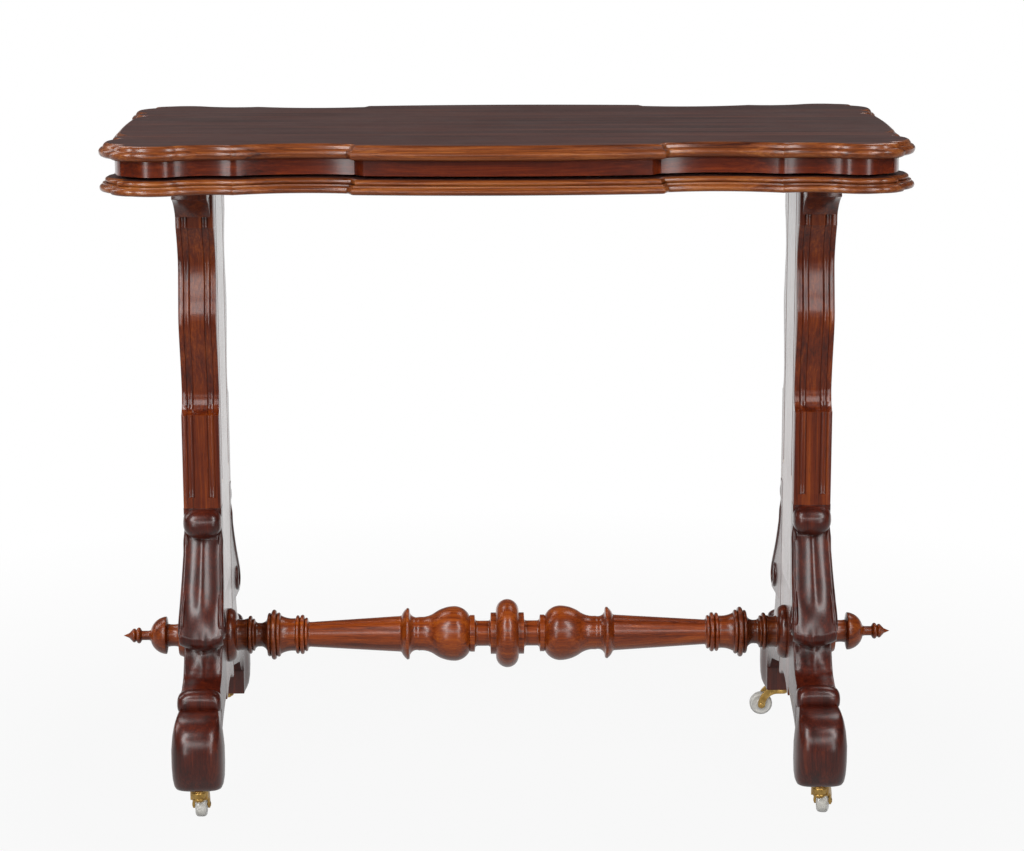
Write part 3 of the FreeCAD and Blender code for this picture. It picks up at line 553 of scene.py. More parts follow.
# %% Brass, porcelain, steel and plain wood
def simple_finish(name, clean, tarnished, noise_scale, rough_range, metallic=0.0, coat=0.0,
                  stretch=(1, 1, 1), bump=0.05):
    """A material that a noise takes from its clean colour to its tarnished one."""
    material, tree, shader, place, wear_and_shade_masks = worn_and_shaded_material(name)
    scale = add(tree, "Mapping", {"Scale": stretch})
    join(tree, place, scale.inputs["Vector"])
    noise = add(tree, "TexNoise", {"Scale": noise_scale, "Detail": 5.0, "Roughness": 0.65})
    join(tree, scale.outputs[0], noise.inputs["Vector"])
    colour = blended(tree, spread(tree, noise.outputs[0], 0.35, 0.7), clean, tarnished)
    colour = tinted(tree, wear_and_shade_masks.outputs["Rub"], 0.6, colour, clean)
    # Hollows darkened by the same mask: tarnish, and painted shade.
    colour = tinted(tree, wear_and_shade_masks.outputs["Wax"], 0.7, colour, scaled_colour(tarnished, 0.3))
    join(tree, colour, shader.inputs["Base Color"])
    join(tree, spread(tree, noise.outputs[0], 0.3, 0.7, *rough_range), shader.inputs["Roughness"])
    dent = add(tree, "Bump", {"Strength": bump, "Distance": 0.0003})
    join(tree, noise.outputs[0], dent.inputs["Height"])
    join(tree, dent.outputs["Normal"], shader.inputs["Normal"])
    shader.inputs["Metallic"].default_value = metallic
    shader.inputs["Coat Weight"].default_value = coat
    return material


finishes["brass"] = simple_finish(
    "aged_brass", linear(214, 176, 104), linear(150, 112, 56), 90.0, (0.22, 0.42), metallic=1.0)
finishes["porcelain"] = simple_finish(
    "white_porcelain", linear(238, 236, 230), linear(222, 219, 210), 60.0, (0.10, 0.2), coat=0.5,
    bump=0.02)
finishes["steel"] = simple_finish(
    "screw_steel", linear(168, 168, 170), linear(112, 108, 104), 40.0, (0.3, 0.5), metallic=1.0,
    stretch=(1, 1, 20))
finishes["plain"] = mahogany(
    "plain_wood", tones((128, 84, 52), (160, 112, 72), (184, 138, 96)), ALONG_Z,
    gloss=0.0, base_rough=0.6)
print("other finishes: brass, porcelain, steel, plain wood")

# %% [markdown]
# ## Making a piece
# Every piece below ends the same way: its points become a mesh, faces are smoothed except at real
# corners, the edge number is worked out from the shape, and the piece is tied to the CAD node that it
# replaces, so it rides on the same body. A corner counts as outer when a point stands out from its
# neighbours.

# %% Piece helper
def read_rows(items, what, width, kind=float):
    """One row of numbers for each item of a mesh."""
    numbers = np.empty(len(items) * width, dtype=kind)
    items.foreach_get(what, numbers)
    return numbers.reshape(-1, width)


def edge_numbers(mesh):
    """How far each point stands out from its neighbours, as a share of the distance to them."""
    points = read_rows(mesh.vertices, "co", 3)
    normals = read_rows(mesh.vertices, "normal", 3)
    pairs = read_rows(mesh.edges, "vertices", 2, np.int64)
    both = np.vstack([pairs, pairs[:, ::-1]])
    step = points[both[:, 1]] - points[both[:, 0]]
    length = np.maximum(np.linalg.norm(step, axis=1), 1e-9)
    rise = -np.einsum("ij,ij->i", step, normals[both[:, 0]]) / length
    total = np.bincount(both[:, 0], rise, len(points))
    count = np.bincount(both[:, 0], minlength=len(points))
    return total / np.maximum(count, 1)


def piece(name, mesh, finish, smooth_angle=30.0):
    """Turns a mesh in millimetres into a piece that stands for the CAD node of the same name."""
    mesh.transform(Matrix.Scale(1 / MM, 4))
    work = bmesh.new()
    work.from_mesh(mesh)
    bmesh.ops.recalc_face_normals(work, faces=work.faces)
    work.to_mesh(mesh)
    work.free()
    mesh.polygons.foreach_set("use_smooth", [True] * len(mesh.polygons))
    mesh.set_sharp_from_angle(angle=math.radians(smooth_angle))
    mesh.update()
    numbers = mesh.attributes.new("edge", "FLOAT", "POINT")
    numbers.data.foreach_set("value", edge_numbers(mesh).astype(np.float32))
    obj = bpy.data.objects.new(name + "_dressed", mesh)
    scene.collection.objects.link(obj)
    mesh.materials.append(finishes[finish])
    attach(obj, frame["nodes"][name].parent.name.split(":", 1)[1])
    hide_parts(name)
    return obj


def mesh_from(points, faces):
    mesh = bpy.data.meshes.new("piece")
    mesh.from_pydata([tuple(p) for p in points], [], faces)
    return mesh


def tube_faces(rings, count):
    """Faces of a stack of rings with the same number of points, closed at both ends."""
    faces = [tuple(range(count))[::-1], tuple(range((rings - 1) * count, rings * count))]
    for r in range(rings - 1):
        for c in range(count):
            d = (c + 1) % count
            faces.append((r * count + c, r * count + d, (r + 1) * count + d, (r + 1) * count + c))
    return faces


def joined(meshes):
    work = bmesh.new()
    for mesh in meshes:
        work.from_mesh(mesh)
    result = bpy.data.meshes.new("joined")
    work.to_mesh(result)
    work.free()
    return result


print("piece helper ready")

# %% [markdown]
# ## Plan of the moulded boards
# The top and the tier below share one serpentine plan: a bowed break-front, hollows, cusps and
# scalloped ends. A quarter of it is a chain of straight and round stretches, mirrored twice. Moving
# the chain in by an inset, with mitres where two stretches meet, gives the ring of points for each
# level of a moulding. Points of the break-front are given from the crest of its bow, all others from the
# corner of the box round the plan. A stretch of the lobe or the end is its middle, if it is round, and
# its last point.

# %% Plan rings
BREAK_CORNER = (158.0, 9.0)
BREAK_RETURN = (163.0, 21.0)
HOLLOW_SHARE = 0.43
HOLLOW_BACK = 26.5
CUSP = (138.5, 12.5)
LOBE = (((111.5, 16.5), (85.5, 10.0)), ((58.5, 1.5), (37.5, 5.5)))
BOARD_END = (
    ((25.0, 10.0), (15.5, 19.5)), (None, (19.0, 26.0)), ((0.0, 58.5), (10.0, 84.0)),
    ((4.6, 97.0), (13.0, 114.0)), ((6.8, 127.0), (3.4, 150.0)),
)
BAND_END = (((27.5, 11.8), (16.5, 16.0)), (None, (9.0, 26.0)), ((1.0, 58.0), (4.5, 96.0)))
# A plan is the stretches of its end and how far the bow of the end stays inside the box
BOARD_PLAN = (BOARD_END, 2.2)
BAND_PLAN = (BAND_END, 0.0)
POINT_SPACING = 2.2


def circle_through(a, b, c):
    (ax, ay), (bx, by), (cx, cy) = a, b, c
    aa, bb, cc = ax * ax + ay * ay, bx * bx + by * by, cx * cx + cy * cy
    d = 2 * (ax * (by - cy) + bx * (cy - ay) + cx * (ay - by))
    ux = (aa * (by - cy) + bb * (cy - ay) + cc * (ay - by)) / d
    uy = (aa * (cx - bx) + bb * (ax - cx) + cc * (bx - ax)) / d
    return np.array((ux, uy))


def arc_points(a, b, c, count):
    """Points from a to c on the circle through b; c itself is left out."""
    centre = circle_through(a, b, c)
    angles = [math.atan2(p[1] - centre[1], p[0] - centre[0]) for p in (a, b, c)]
    turn = 2 * math.pi
    sweep = (angles[2] - angles[0]) % turn
    if (angles[1] - angles[0]) % turn > sweep:
        sweep -= turn
    t = angles[0] + sweep * np.arange(count) / count
    return centre + np.hypot(*(np.array(a) - centre)) * np.column_stack([np.cos(t), np.sin(t)])


def from_end(pair):
    if pair is None:
        return None
    return np.array((HALF_WIDTH - pair[0], HALF_DEPTH - pair[1]))


def moved(stretch, factor):
    return tuple(None if p is None else p * factor for p in stretch)


def plan_stretches(plan):
    """The whole plan, clockwise seen from above, starting at the rear break corner."""
    end, bow_in = plan
    corner, foot = [np.array((x, HALF_DEPTH - back)) for x, back in (BREAK_CORNER, BREAK_RETURN)]
    cusp = from_end(CUSP)
    hollow = np.array((foot[0] + HOLLOW_SHARE * (cusp[0] - foot[0]), HALF_DEPTH - HOLLOW_BACK))
    quarter = [(corner, None, foot), (foot, hollow, cusp)]
    for middle, last in LOBE + end:
        quarter.append((quarter[-1][2], from_end(middle), from_end(last)))
    bow_start = quarter[-1][2]
    flip = np.array((1, -1))
    front = [moved(stretch[::-1], flip) for stretch in reversed(quarter)]
    end_bow = (bow_start, np.array((HALF_WIDTH - bow_in, 0.0)), bow_start * flip)
    front_bow = (corner * flip, np.array((0.0, -HALF_DEPTH)), -corner)
    half = quarter + [end_bow] + front + [front_bow]
    return half + [moved(stretch, -1) for stretch in half]


def outward(stretch):
    """Outward unit normals at the start, middle and end of a stretch."""
    start, middle, end = stretch
    chord = end - start
    left = np.array((-chord[1], chord[0])) / np.hypot(*chord)
    if middle is None:
        return left, left, left
    centre = circle_through(start, middle, end)
    side = 1 if (middle - centre) @ left > 0 else -1
    return tuple(side * (p - centre) / np.hypot(*(p - centre)) for p in stretch)


def plan_ring(plan, inset):
    stretches = plan_stretches(plan)
    normals = [outward(stretch) for stretch in stretches]
    corners = []
    for i, stretch in enumerate(stretches):
        before = normals[i - 1][2]
        after = normals[i][0]
        corners.append(stretch[0] - (before + after) / (1 + before @ after) * inset)
    ring = []
    for i, (start, middle, last) in enumerate(stretches):
        a = corners[i]
        b = corners[(i + 1) % len(stretches)]
        if middle is None:
            ring.append(np.array((a, (a + b) / 2)))
        else:
            count = max(8, int(np.hypot(*(last - start)) / POINT_SPACING))
            ring.append(arc_points(a, middle - normals[i][1] * inset, b, count))
    return np.vstack(ring)


print("plan ring of", len(plan_ring(BOARD_PLAN, 0)), "points")

# %% [markdown]
# ## Top board and lower tier
# A moulding plane leaves a smooth section, so the few section points of the drawing are joined by a
# soft curve, and only the quirks stay sharp. The top has a roll below, a quirk and a rounded slope up to
# the flat; the tier has two beads with a fillet between them. The flats of both boards get their own
# finish, chosen face by face, because their polish is darker and duller.

# %% Smooth sections and the top
FLAT_TILT = 0.99
FLAT_SKIN = 0.5


def soft_curve(points, steps):
    """A curve through points, each stretch cut into steps; the ends keep their own direction."""
    p = np.asarray(points, float)
    p = np.vstack([2 * p[0] - p[1], p, 2 * p[-1] - p[-2]])
    t = (np.arange(steps) / steps)[:, None]
    rows = []
    for a, b, c, d in zip(p, p[1:], p[2:], p[3:]):
        bend = (2 * a - 5 * b + 4 * c - d) * t ** 2 + (3 * b - a - 3 * c + d) * t ** 3
        rows.append(0.5 * (2 * b + (c - a) * t + bend))
    rows.append(p[-2:-1])
    return np.vstack(rows)


def moulded_board(section, low_z, high_z):
    """A board whose edge follows a section of (inset, share of the thickness)."""
    rings = []
    for inset, share in section:
        ring = plan_ring(BOARD_PLAN, inset)
        rings.append(np.column_stack([ring, np.full(len(ring), low_z + share * (high_z - low_z))]))
    return mesh_from(np.vstack(rings), tube_faces(len(rings), len(rings[0])))


def finish_flat(board, high_z):
    """Gives the flat upper face of a board its own finish."""
    board.data.materials.append(finishes["top_surface"])
    for face in board.data.polygons:
        if face.normal.z > FLAT_TILT and face.center.z > (high_z - FLAT_SKIN) / MM:
            face.material_index = 1


roll = soft_curve([(4.2, 0.0), (1.2, 0.12), (0.0, 0.36), (0.5, 0.5), (2.2, 0.63)], 5)
quirk = [(3.4, 0.65)]
slope = soft_curve([(4.0, 0.69), (4.5, 0.75), (5.4, 0.86), (6.8, 0.95), (8.4, 1.0)], 4)
top_section = [(8.4, 0.0)] + list(roll) + quirk + list(slope) + [(10.0, 1.0)]
top = piece("top_board", moulded_board(top_section, top_low[2], top_high[2]), "moulding")
finish_flat(top, top_high[2])
print("top board", len(top.data.vertices), "points")

# %% [markdown]
# The tier needs two slots where the uprights rise through it, cut with the Boolean tool as a mortise
# would be chopped. The slots are measured from the uprights, with the drawing's clearance.

# %% Tier with slots
SLOT_CLEARANCE = 1.5


def cut_with(mesh, cutter):
    """Cuts one closed mesh out of another and gives back the result as a new mesh."""
    made = [bpy.data.objects.new("cutting", m) for m in (mesh, cutter)]
    for obj in made:
        scene.collection.objects.link(obj)
    tool = made[0].modifiers.new("cut", "BOOLEAN")
    tool.operation = "DIFFERENCE"
    tool.solver = "EXACT"
    tool.object = made[1]
    graph = bpy.context.evaluated_depsgraph_get()
    result = bpy.data.meshes.new_from_object(made[0].evaluated_get(graph))
    for obj in made:
        bpy.data.objects.remove(obj)
    return result


def box_mesh(low, high):
    plan = ((low[0], low[1]), (high[0], low[1]), (high[0], high[1]), (low[0], high[1]))
    points = [(x, y, z) for z in (low[2], high[2]) for x, y in plan]
    return mesh_from(points, tube_faces(2, 4))


low_bead = soft_curve([(4.0, 0.0), (1.2, 0.06), (0.0, 0.22), (0.6, 0.38), (2.6, 0.5)], 4)
fillet = [(3.2, 0.52), (3.4, 0.61)]
high_bead = soft_curve([(6.9, 0.64), (6.0, 0.72), (5.9, 0.82), (6.8, 0.92), (9.0, 1.0)], 4)
tier_section = [(9.0, 0.0)] + list(low_bead) + fillet + list(high_bead) + [(11.0, 1.0)]
tier_mesh = moulded_board(tier_section, tier_low[2], tier_high[2])
for side in ("left", "right"):
    upright_low, upright_high = mm_box(side + "_upright")
    room_round = np.array((SLOT_CLEARANCE, SLOT_CLEARANCE, 0))
    tier_mesh = cut_with(tier_mesh, box_mesh(upright_low - room_round, upright_high + room_round))
tier = piece("lower_tier", tier_mesh, "moulding")
finish_flat(tier, tier_high[2])
print("lower tier", len(tier.data.vertices), "points with two slots")

# %% [markdown]
# ## Band
# The band under the top is one ring of wood in eight lengths. It could be one long mesh with lines drawn
# on it, but real joints catch the light. So each length is the stretch of the ring between two sawn
# joints. The arrises are eased a little, so a joint shows as a dark line with a light edge.

# %% Band lengths
BAND_INSET = 15.0
BAND_T = 9.0
JOINT = 0.15
BAND_EASE = 0.5


def half_loop(ring, axis, side):
    """The stretch of a closed ring on one side of a middle line, in walking order."""
    inside = ring[:, axis] * side > 0
    start = int(np.argmax(inside & ~np.roll(inside, 1)))
    return np.roll(ring, -start, axis=0)[:inside.sum()]


def clip_between(line, low, high):
    """The stretch of a polyline, walked in order, whose X lies between two values."""
    kept = []
    for a, b in zip(line, line[1:]):
        shares = sorted(((low - a[0]) / (b[0] - a[0] + 1e-12), (high - a[0]) / (b[0] - a[0] + 1e-12)))
        start = max(0.0, shares[0])
        stop = min(1.0, shares[1])
        if start < stop:
            kept += [a + (b - a) * share for share in (start, stop)]
    different = [i for i in range(len(kept)) if i == 0 or np.hypot(*(kept[i] - kept[i - 1])) > 1e-6]
    return np.array([kept[i] for i in different])


def eased(obj, width_mm):
    bevel = obj.modifiers.new("eased_arris", "BEVEL")
    bevel.width = width_mm / MM
    bevel.segments = 2
    bevel.limit_method = "ANGLE"
    bevel.angle_limit = math.radians(40.0)
    bevel.harden_normals = True


def rounded_ring(ring):
    """Rounds the corners of a closed ring: each point becomes the mean of itself and its neighbours."""
    return (np.roll(ring, -1, axis=0) + ring + np.roll(ring, 1, axis=0)) / 3


def band_length(name, axis, side):
    low, high = mm_box(name)
    first = low[0] + JOINT
    last = high[0] - JOINT
    if axis == 0 and side < 0:
        first = -HALF_WIDTH
    elif axis == 0:
        last = HALF_WIDTH
    sides = []
    for inset in (BAND_INSET, BAND_INSET + BAND_T):
        stretch = half_loop(rounded_ring(plan_ring(BAND_PLAN, inset)), axis, side)
        sides.append(clip_between(stretch, first, last))
    outline = np.vstack([sides[0], sides[1][::-1]])
    points = [np.column_stack([outline, np.full(len(outline), z)]) for z in (low[2], high[2])]
    eased(piece(name, mesh_from(np.vstack(points), tube_faces(2, len(outline))), "band"), BAND_EASE)


for end, side in (("front", -1), ("rear", 1)):
    for span in ("left", "middle", "right"):
        band_length("band_%s_%s" % (end, span), 1, side)
for end, side in (("left", -1), ("right", 1)):
    band_length("band_%s_end" % end, 0, side)
print("band in eight lengths")

# %% [markdown]
# ## Turned work
# The stretcher, its bosses and the finials came off a lathe: one outline turned about one axis. The
# outline is the drawing's list of straight and round cuts. Every sharp corner is eased a little, since
# a chisel and sandpaper never leave a true edge, and that is where turned work catches the light.

# %% Lathe
def outline_points(entries, step=1.0):
    """Points along straight (distance, radius) cuts; four numbers are a point on an arc and its end."""
    line = [np.array(entries[0], float)]
    for entry in entries[1:]:
        end = np.array(entry[-2:], float)
        if len(entry) == 4:
            count = max(6, int(1.2 * np.hypot(*(end - line[-1])) / step))
            line += list(arc_points(line[-1], entry[:2], end, count))[1:]
        line.append(end)
    return np.array(line)


def ease_line(line, size):
    """Cuts each sharp corner of a polyline into a short round."""
    out = [line[0]]
    for a, b, c in zip(line, line[1:], line[2:]):
        before = a - b
        after = c - b
        la = np.hypot(*before)
        lc = np.hypot(*after)
        bend = math.acos(max(-1.0, min(1.0, -(before @ after) / (la * lc))))
        if bend < math.radians(18):
            out.append(b)
            continue
        cut = min(size, 0.42 * la, 0.42 * lc)
        p = b + before / la * cut
        q = b + after / lc * cut
        for t in (0.0, 0.25, 0.5, 0.75, 1.0):
            out.append((1 - t) ** 2 * p + 2 * t * (1 - t) * b + t * t * q)
    out.append(line[-1])
    return np.array(out)


def lathe(line, centre, direction=(1, 0, 0), around=96):
    """Turns an outline of (distance, radius) about an axis through a centre."""
    axis = Vector(direction).normalized()
    one = axis.orthogonal().normalized()
    two = axis.cross(one)
    turn = np.linspace(0, 2 * math.pi, around, endpoint=False)
    ring = np.outer(np.cos(turn), one) + np.outer(np.sin(turn), two)
    points = [np.array(centre) + np.array(axis) * x + ring * max(r, 0.02) for x, r in line]
    return mesh_from(np.vstack(points), tube_faces(len(line), around))


print("lathe ready")

# %% [markdown]
# The stretcher is alike on both sides of its middle, so half of its outline is drawn and mirrored. The
# bosses and the finials are pieces of their own, as in the CAD frame. Towards the ends of the stretcher,
# next to the standards, the edge number is lowered, so that the hollow mask paints shade there.

# %% Stretcher, bosses and finials
TURNED_EASE = 0.5
# How much the ends of the stretcher are painted darker, as shade of the standards.
END_SHADE = 0.28
MIDDLE_TURNING = [
    (0.0, 37.8), (9.9, 32.9, 12.6, 24.5), (12.7, 23.0), (18.4, 23.0), (18.9, 17.0),
    (19.7, 14.6, 21.8, 14.0), (32.6, 14.0), (34.6, 14.6, 35.6, 17.0), (36.2, 20.4), (41.0, 20.4),
    (41.6, 19.4), (47.2, 26.4, 58.2, 30.3), (70.5, 28.3, 80.0, 23.6), (88.0, 19.6, 97.7, 18.7),
    (104.6, 19.4, 107.9, 23.6), (108.4, 27.4), (110.2, 28.6, 112.0, 27.6), (115.2, 24.0, 117.0, 20.6),
    (118.4, 19.8),
]
BOSS_T = boss_high[0] - boss_low[0]
END_TURNING = [
    (90.0, 13.75), (88.2, 14.4, 87.5, 16.2), (87.4, 16.8), (85.7, 18.7, 84.0, 17.2), (83.8, 16.6),
    (83.6, 19.5), (81.2, 21.9, 78.9, 19.6), (78.4, 17.9), (77.9, 19.5), (76.0, 21.4, 74.1, 19.4),
    (73.5, 18.1), (65.0, 18.5, 57.6, 21.2), (57.0, 22.4), (55.0, 24.5, 53.0, 22.8), (52.8, 22.6),
    (52.6, 25.0), (49.9, 27.8, 47.2, 25.2), (46.9, 22.8), (46.7, 22.6), (44.8, 24.1, 42.9, 22.0),
    (42.6, 19.8), (38.5, 13.9, 33.5, 13.2), (30.5, 13.8, 28.9, 16.0), (28.7, 16.6),
    (27.4, 17.9, 26.1, 16.9), (25.7, 18.5), (23.6, 21.2, 21.5, 18.8), (21.1, 17.6), (20.6, 18.4),
    (15.3, 17.0, BOSS_T, 17.6),
]
BOSS_TURNING = [(0.2, 17.9), (0.2, 19.0), (0.5, 21.5), (3.4, 27.4, 8.0, 29.6), (9.9, 29.6), (9.9, 12.0)]
FINIAL_TURNING = [
    (0.2, 5.0), (0.2, 23.9), (7.0, 24.6, 14.5, 22.0), (15.5, 12.9), (21.6, 12.1, 27.7, 12.9),
    (29.0, 20.7), (31.0, 20.7), (40.1, 16.6, 46.6, 6.2), (48.6, 5.2), (56.4, 5.2), (57.6, 7.4),
    (59.8, 8.9, 62.0, 7.4), (62.8, 5.8), (64.4, 7.6, 66.4, 7.2), (70.6, 2.7), (76.8, 0.05),
]
ends = [tuple(n if i % 2 else boss_high[0] - n for i, n in enumerate(cut)) for cut in END_TURNING]
half_line = ease_line(outline_points(MIDDLE_TURNING + ends), TURNED_EASE)
whole_line = np.vstack([half_line[::-1] * (-1, 1), half_line[1:]])
stretcher = piece("stretcher", lathe(whole_line, (0, 0, AXIS_Z)), "turning", smooth_angle=40.0)
END_REACH = END_TURNING[0][0]
# Painted shade towards the standards: a lower edge number darkens the ends.
for point, number in zip(stretcher.data.vertices, stretcher.data.attributes["edge"].data):
    share = 1 - (boss_high[0] - abs(point.co.x) * MM) / END_REACH
    number.value -= END_SHADE * min(max(2 * share, 0.0), 1.0)
for side, way in (("left", -1), ("right", 1)):
    for name, cuts, start, finish in (("stretcher_boss", BOSS_TURNING, boss_low[0], "boss"),
                                      ("finial", FINIAL_TURNING, POST_X + POST_HALF, "turning")):
        line = ease_line(outline_points(cuts), TURNED_EASE)
        turned = lathe(line, (way * start, 0, AXIS_Z), (way, 0, 0))
        piece("%s_%s" % (side, name), turned, finish, smooth_angle=40.0)
print("stretcher, two bosses and two finials turned")

# %% [markdown]
# ## Shaped edges of the standards
# Front and rear of each standard are S-shaped boards with two flutes that stop square above the leg
# and run up under the corbel. The flutes could be cut with the Boolean tool, but that leaves uneven
# faces on a curved board. So the board is a stack of levels. At each level the front follows the curve,
# dips where a flute runs, and rounds over a little at both arrises. Extra levels at the stops keep them
# crisp.

# %% Shaped edges
BLOCK_Y = EDGE_IN + 19.0
STEP_Z = LEG_TOP + 102.0
COVE_FOOT = corbel_low[2]
FASCIA_Z = COVE_FOOT - 12.0
FLUTE_X = 11.0
FLUTE_FOOT = LEG_TOP + 12.0
STEP_SWEEP = (12.6, 0.018)
EDGE_CURVE = ((8.6, 0.05), (6.9, 0.085), (6.5, 0.13), (11.3, 0.26), (21.5, 0.48), (17.0, 0.62), (10.0, 0.79),
              (14.5, 0.9), (24.0, 1.0))
FLUTE_HALF = [(3.9, 0.0), (3.6, 0.35), (3.3, 1.3), (2.4, 2.1), (1.0, 2.5)]
FLUTE = [(-x, depth) for x, depth in FLUTE_HALF] + FLUTE_HALF[::-1]
ARRIS = [(0.0, 0.9), (0.3, 0.3), (0.9, 0.0)]
CORNERS = {"front_left": (-1, -1), "front_right": (1, -1), "rear_left": (-1, 1), "rear_right": (1, 1)}


def on_edge(pair):
    """(Front, height) from a distance out of the cheek and a share of the height to the fascia."""
    return np.array((EDGE_IN + pair[0], STEP_Z + pair[1] * (FASCIA_Z - STEP_Z)))


def stacked_board(levels, back, low_x, high_x, flute_places=()):
    """Levels of (height, front, share of the flutes' depth) as one closed board."""
    columns = [(low_x + x, set_back, 0.0) for x, set_back in ARRIS]
    for middle in flute_places:
        columns += [(middle + x, 0.0, depth) for x, depth in FLUTE]
    columns += [(high_x - x, set_back, 0.0) for x, set_back in ARRIS[::-1]]
    points = []
    for z, front, flute in levels:
        points += [(x, max(back, front - set_back - depth * flute), z) for x, set_back, depth in columns]
        points += [(high_x, back, z), (low_x, back, z)]
    return mesh_from(points, tube_faces(len(levels), len(columns) + 2))


def on_side(mesh, x_side, y_side):
    """A copy of a mesh drawn for the rear right, mirrored to another corner."""
    copy = mesh.copy()
    copy.transform(Matrix.Diagonal((x_side, y_side, 1, 1)))
    return copy


def four_corners(ending, mesh, finish, smooth_angle=30.0):
    for corner, (x_side, y_side) in CORNERS.items():
        piece("%s_%s" % (corner, ending), on_side(mesh, x_side, y_side), finish, smooth_angle)


s_curve = soft_curve([on_edge(pair) for pair in EDGE_CURVE], 9)
sweep = arc_points((BLOCK_Y, STEP_Z), on_edge(STEP_SWEEP), s_curve[0], 8)
levels = [(LEG_TOP, BLOCK_Y, 0.0), (FLUTE_FOOT - 0.4, BLOCK_Y, 0.0), (FLUTE_FOOT, BLOCK_Y, 0.85),
          (FLUTE_FOOT + 0.6, BLOCK_Y, 1.0)]
levels += [(z, BLOCK_Y, 1.0) for z in np.linspace(FLUTE_FOOT + 12.0, STEP_Z - 0.6, 7)]
levels += [(z, y, 1.0) for y, z in np.vstack([sweep, s_curve])]
levels += [(FASCIA_Z + 0.05, FASCIA_Y - 0.4, 1.0), (FASCIA_Z + 0.5, FASCIA_Y, 1.0),
           (COVE_FOOT - 0.3, FASCIA_Y, 1.0), (COVE_FOOT, FASCIA_Y, 0.0), (tier_low[2], FASCIA_Y, 0.0)]
flutes = (POST_X - FLUTE_X, POST_X + FLUTE_X)
edge_board = stacked_board(levels, EDGE_IN, edge_low[0], edge_high[0], flutes)
four_corners("edge", edge_board, "post")
print("four shaped edges, each", len(levels), "levels")

# %% [markdown]
# ## Corbels
# Where the standard meets the tier, a corbel flares out: a cove and a thin square plate against the
# tier. It is made from levels in the same way as the edge, so that both meet on the same lines.

# %% Corbels
ABACUS_T = 16.0
ABACUS_LIP = 2.0
COVE_BEND = (0.42, 0.58)
cove_start = np.array((FASCIA_Y, COVE_FOOT))
cove_end = np.array((corbel_high[1] - ABACUS_LIP, corbel_high[2] - ABACUS_T))
cove = arc_points(cove_start, cove_start + COVE_BEND * (cove_end - cove_start), cove_end, 16)
levels = [(z, y, 0.0) for y, z in np.vstack([cove, cove_end])]
front = corbel_high[1]
levels += [(cove_end[1] + 0.05, front - 0.6, 0.0), (cove_end[1] + 0.6, front, 0.0),
           (corbel_high[2] - 0.4, front, 0.0), (corbel_high[2] - 0.1, front - 0.4, 0.0)]
corbel_board = stacked_board(levels, FASCIA_Y, corbel_low[0], corbel_high[0])
four_corners("corbel", corbel_board, "post")
print("four corbels, each", len(levels), "levels")

# %% [markdown]
# ## Scroll legs
# A carver cut the leg from a plank: first the side outline with the bandsaw, then the front with
# gouges. The front swells to a rib down the middle with hollow flanks, ends in a scalloped lip, draws
# in to a neck and runs under a roll to the rounded toe. So the leg is a stack of levels again, each
# with a rib whose height and width change on the way down, and the lip hangs lowest in the middle.

# %% Leg sizes
HEAD_R = 17.0
HEAD_HALF = 20.6
HEAD_Z = LEG_TOP - HEAD_R
LIP_DROP = 7.5
SHAFT_CURVE = ((27.5, 0.822), (39.0, 0.745), (52.5, 0.662), (65.5, 0.593), (73.0, 0.545))
LIP_FRONT = (71.5, 0.513)
LIP_BACK = (65.0, 0.495)
NECK_CURVE = ((49.0, 0.487), (50.5, 0.462), (55.0, 0.425), (61.5, 0.39), (69.5, 0.36), (87.0, 0.335))
COLLAR = (103.0, 0.311)
ROOT_CURVE = ((103.0, 0.095), (79.0, 0.167), (43.0, 0.2))
ACROSS = np.concatenate([[-1, -0.995, -0.98, -0.95], np.linspace(-0.9, 0.9, 49), [0.95, 0.98, 0.995, 1]])
SIDE_STEPS = (0.0, 0.12, 0.3, 0.5, 0.7, 0.86)
GOUGE_AT = 0.68
GOUGE_WIDTH = 0.24
ROUND_FROM = 0.9
ROUND_DEPTH = 1.4
CREST_LEVEL = 0.3


def on_leg(pair):
    """(Front, height) from a distance out of the cheek and a share of the leg's height."""
    return np.array((EDGE_IN + pair[0], CASTOR_H + pair[1] * LEG_H))


def between(z, pairs):
    """A value that changes evenly between the heights at which it is given."""
    heights, values = zip(*pairs)
    return float(np.interp(z, heights, values))


lip_z = on_leg(LIP_BACK)[1]
shaft_foot = on_leg(SHAFT_CURVE[-1])
collar = on_leg(COLLAR)
CHEEK_HALF = POST_HALF + 0.2
ROOT_HALF = 23.0
# Each list below pairs a height with what is true there
WIDTHS = ((collar[1] - 1.0, ROOT_HALF), (collar[1] + 6.0, 20.5), (lip_z - 2.0, 20.5), (lip_z, 23.2),
          (shaft_foot[1], 23.2), (on_leg(SHAFT_CURVE[0])[1], 19.9), (LEG_TOP, 20.4))
RIB_HEIGHTS = ((collar[1], 1.4), (lip_z - 26.0, 2.8), (lip_z - 4.0, 2.8), (lip_z + 1.0, -3.2),
               (lip_z + 10.0, -3.2), (lip_z + 42.0, 3.2), (shaft_foot[1] + 45.0, 3.2),
               (HEAD_Z - HEAD_R - 12.0, 2.7), (HEAD_Z, 2.0))
RIB_WIDTHS = ((collar[1], 0.42), (lip_z - 26.0, 0.3), (lip_z, 0.36), (shaft_foot[1] + 20.0, 0.34),
              (HEAD_Z - HEAD_R, 0.26))
HOLLOWS = ((collar[1], 0.3), (lip_z - 26.0, 0.6), (lip_z, 0.6), (HEAD_Z - HEAD_R, 0.9))
DROPS = ((lip_z - 34.0, 0.0), (lip_z - 8.0, 1.0), (lip_z + 10.0, 1.0), (lip_z + 52.0, 0.0))
root = [on_leg(pair) for pair in ROOT_CURVE]
BACKS = ((root[0][1] - 1.0, root[0][0]), (root[1][1], root[1][0]), (root[2][1], root[2][0]),
         (root[2][1] + 0.5, EDGE_IN))
print("lip of the legs at", round(lip_z, 1), "mm")

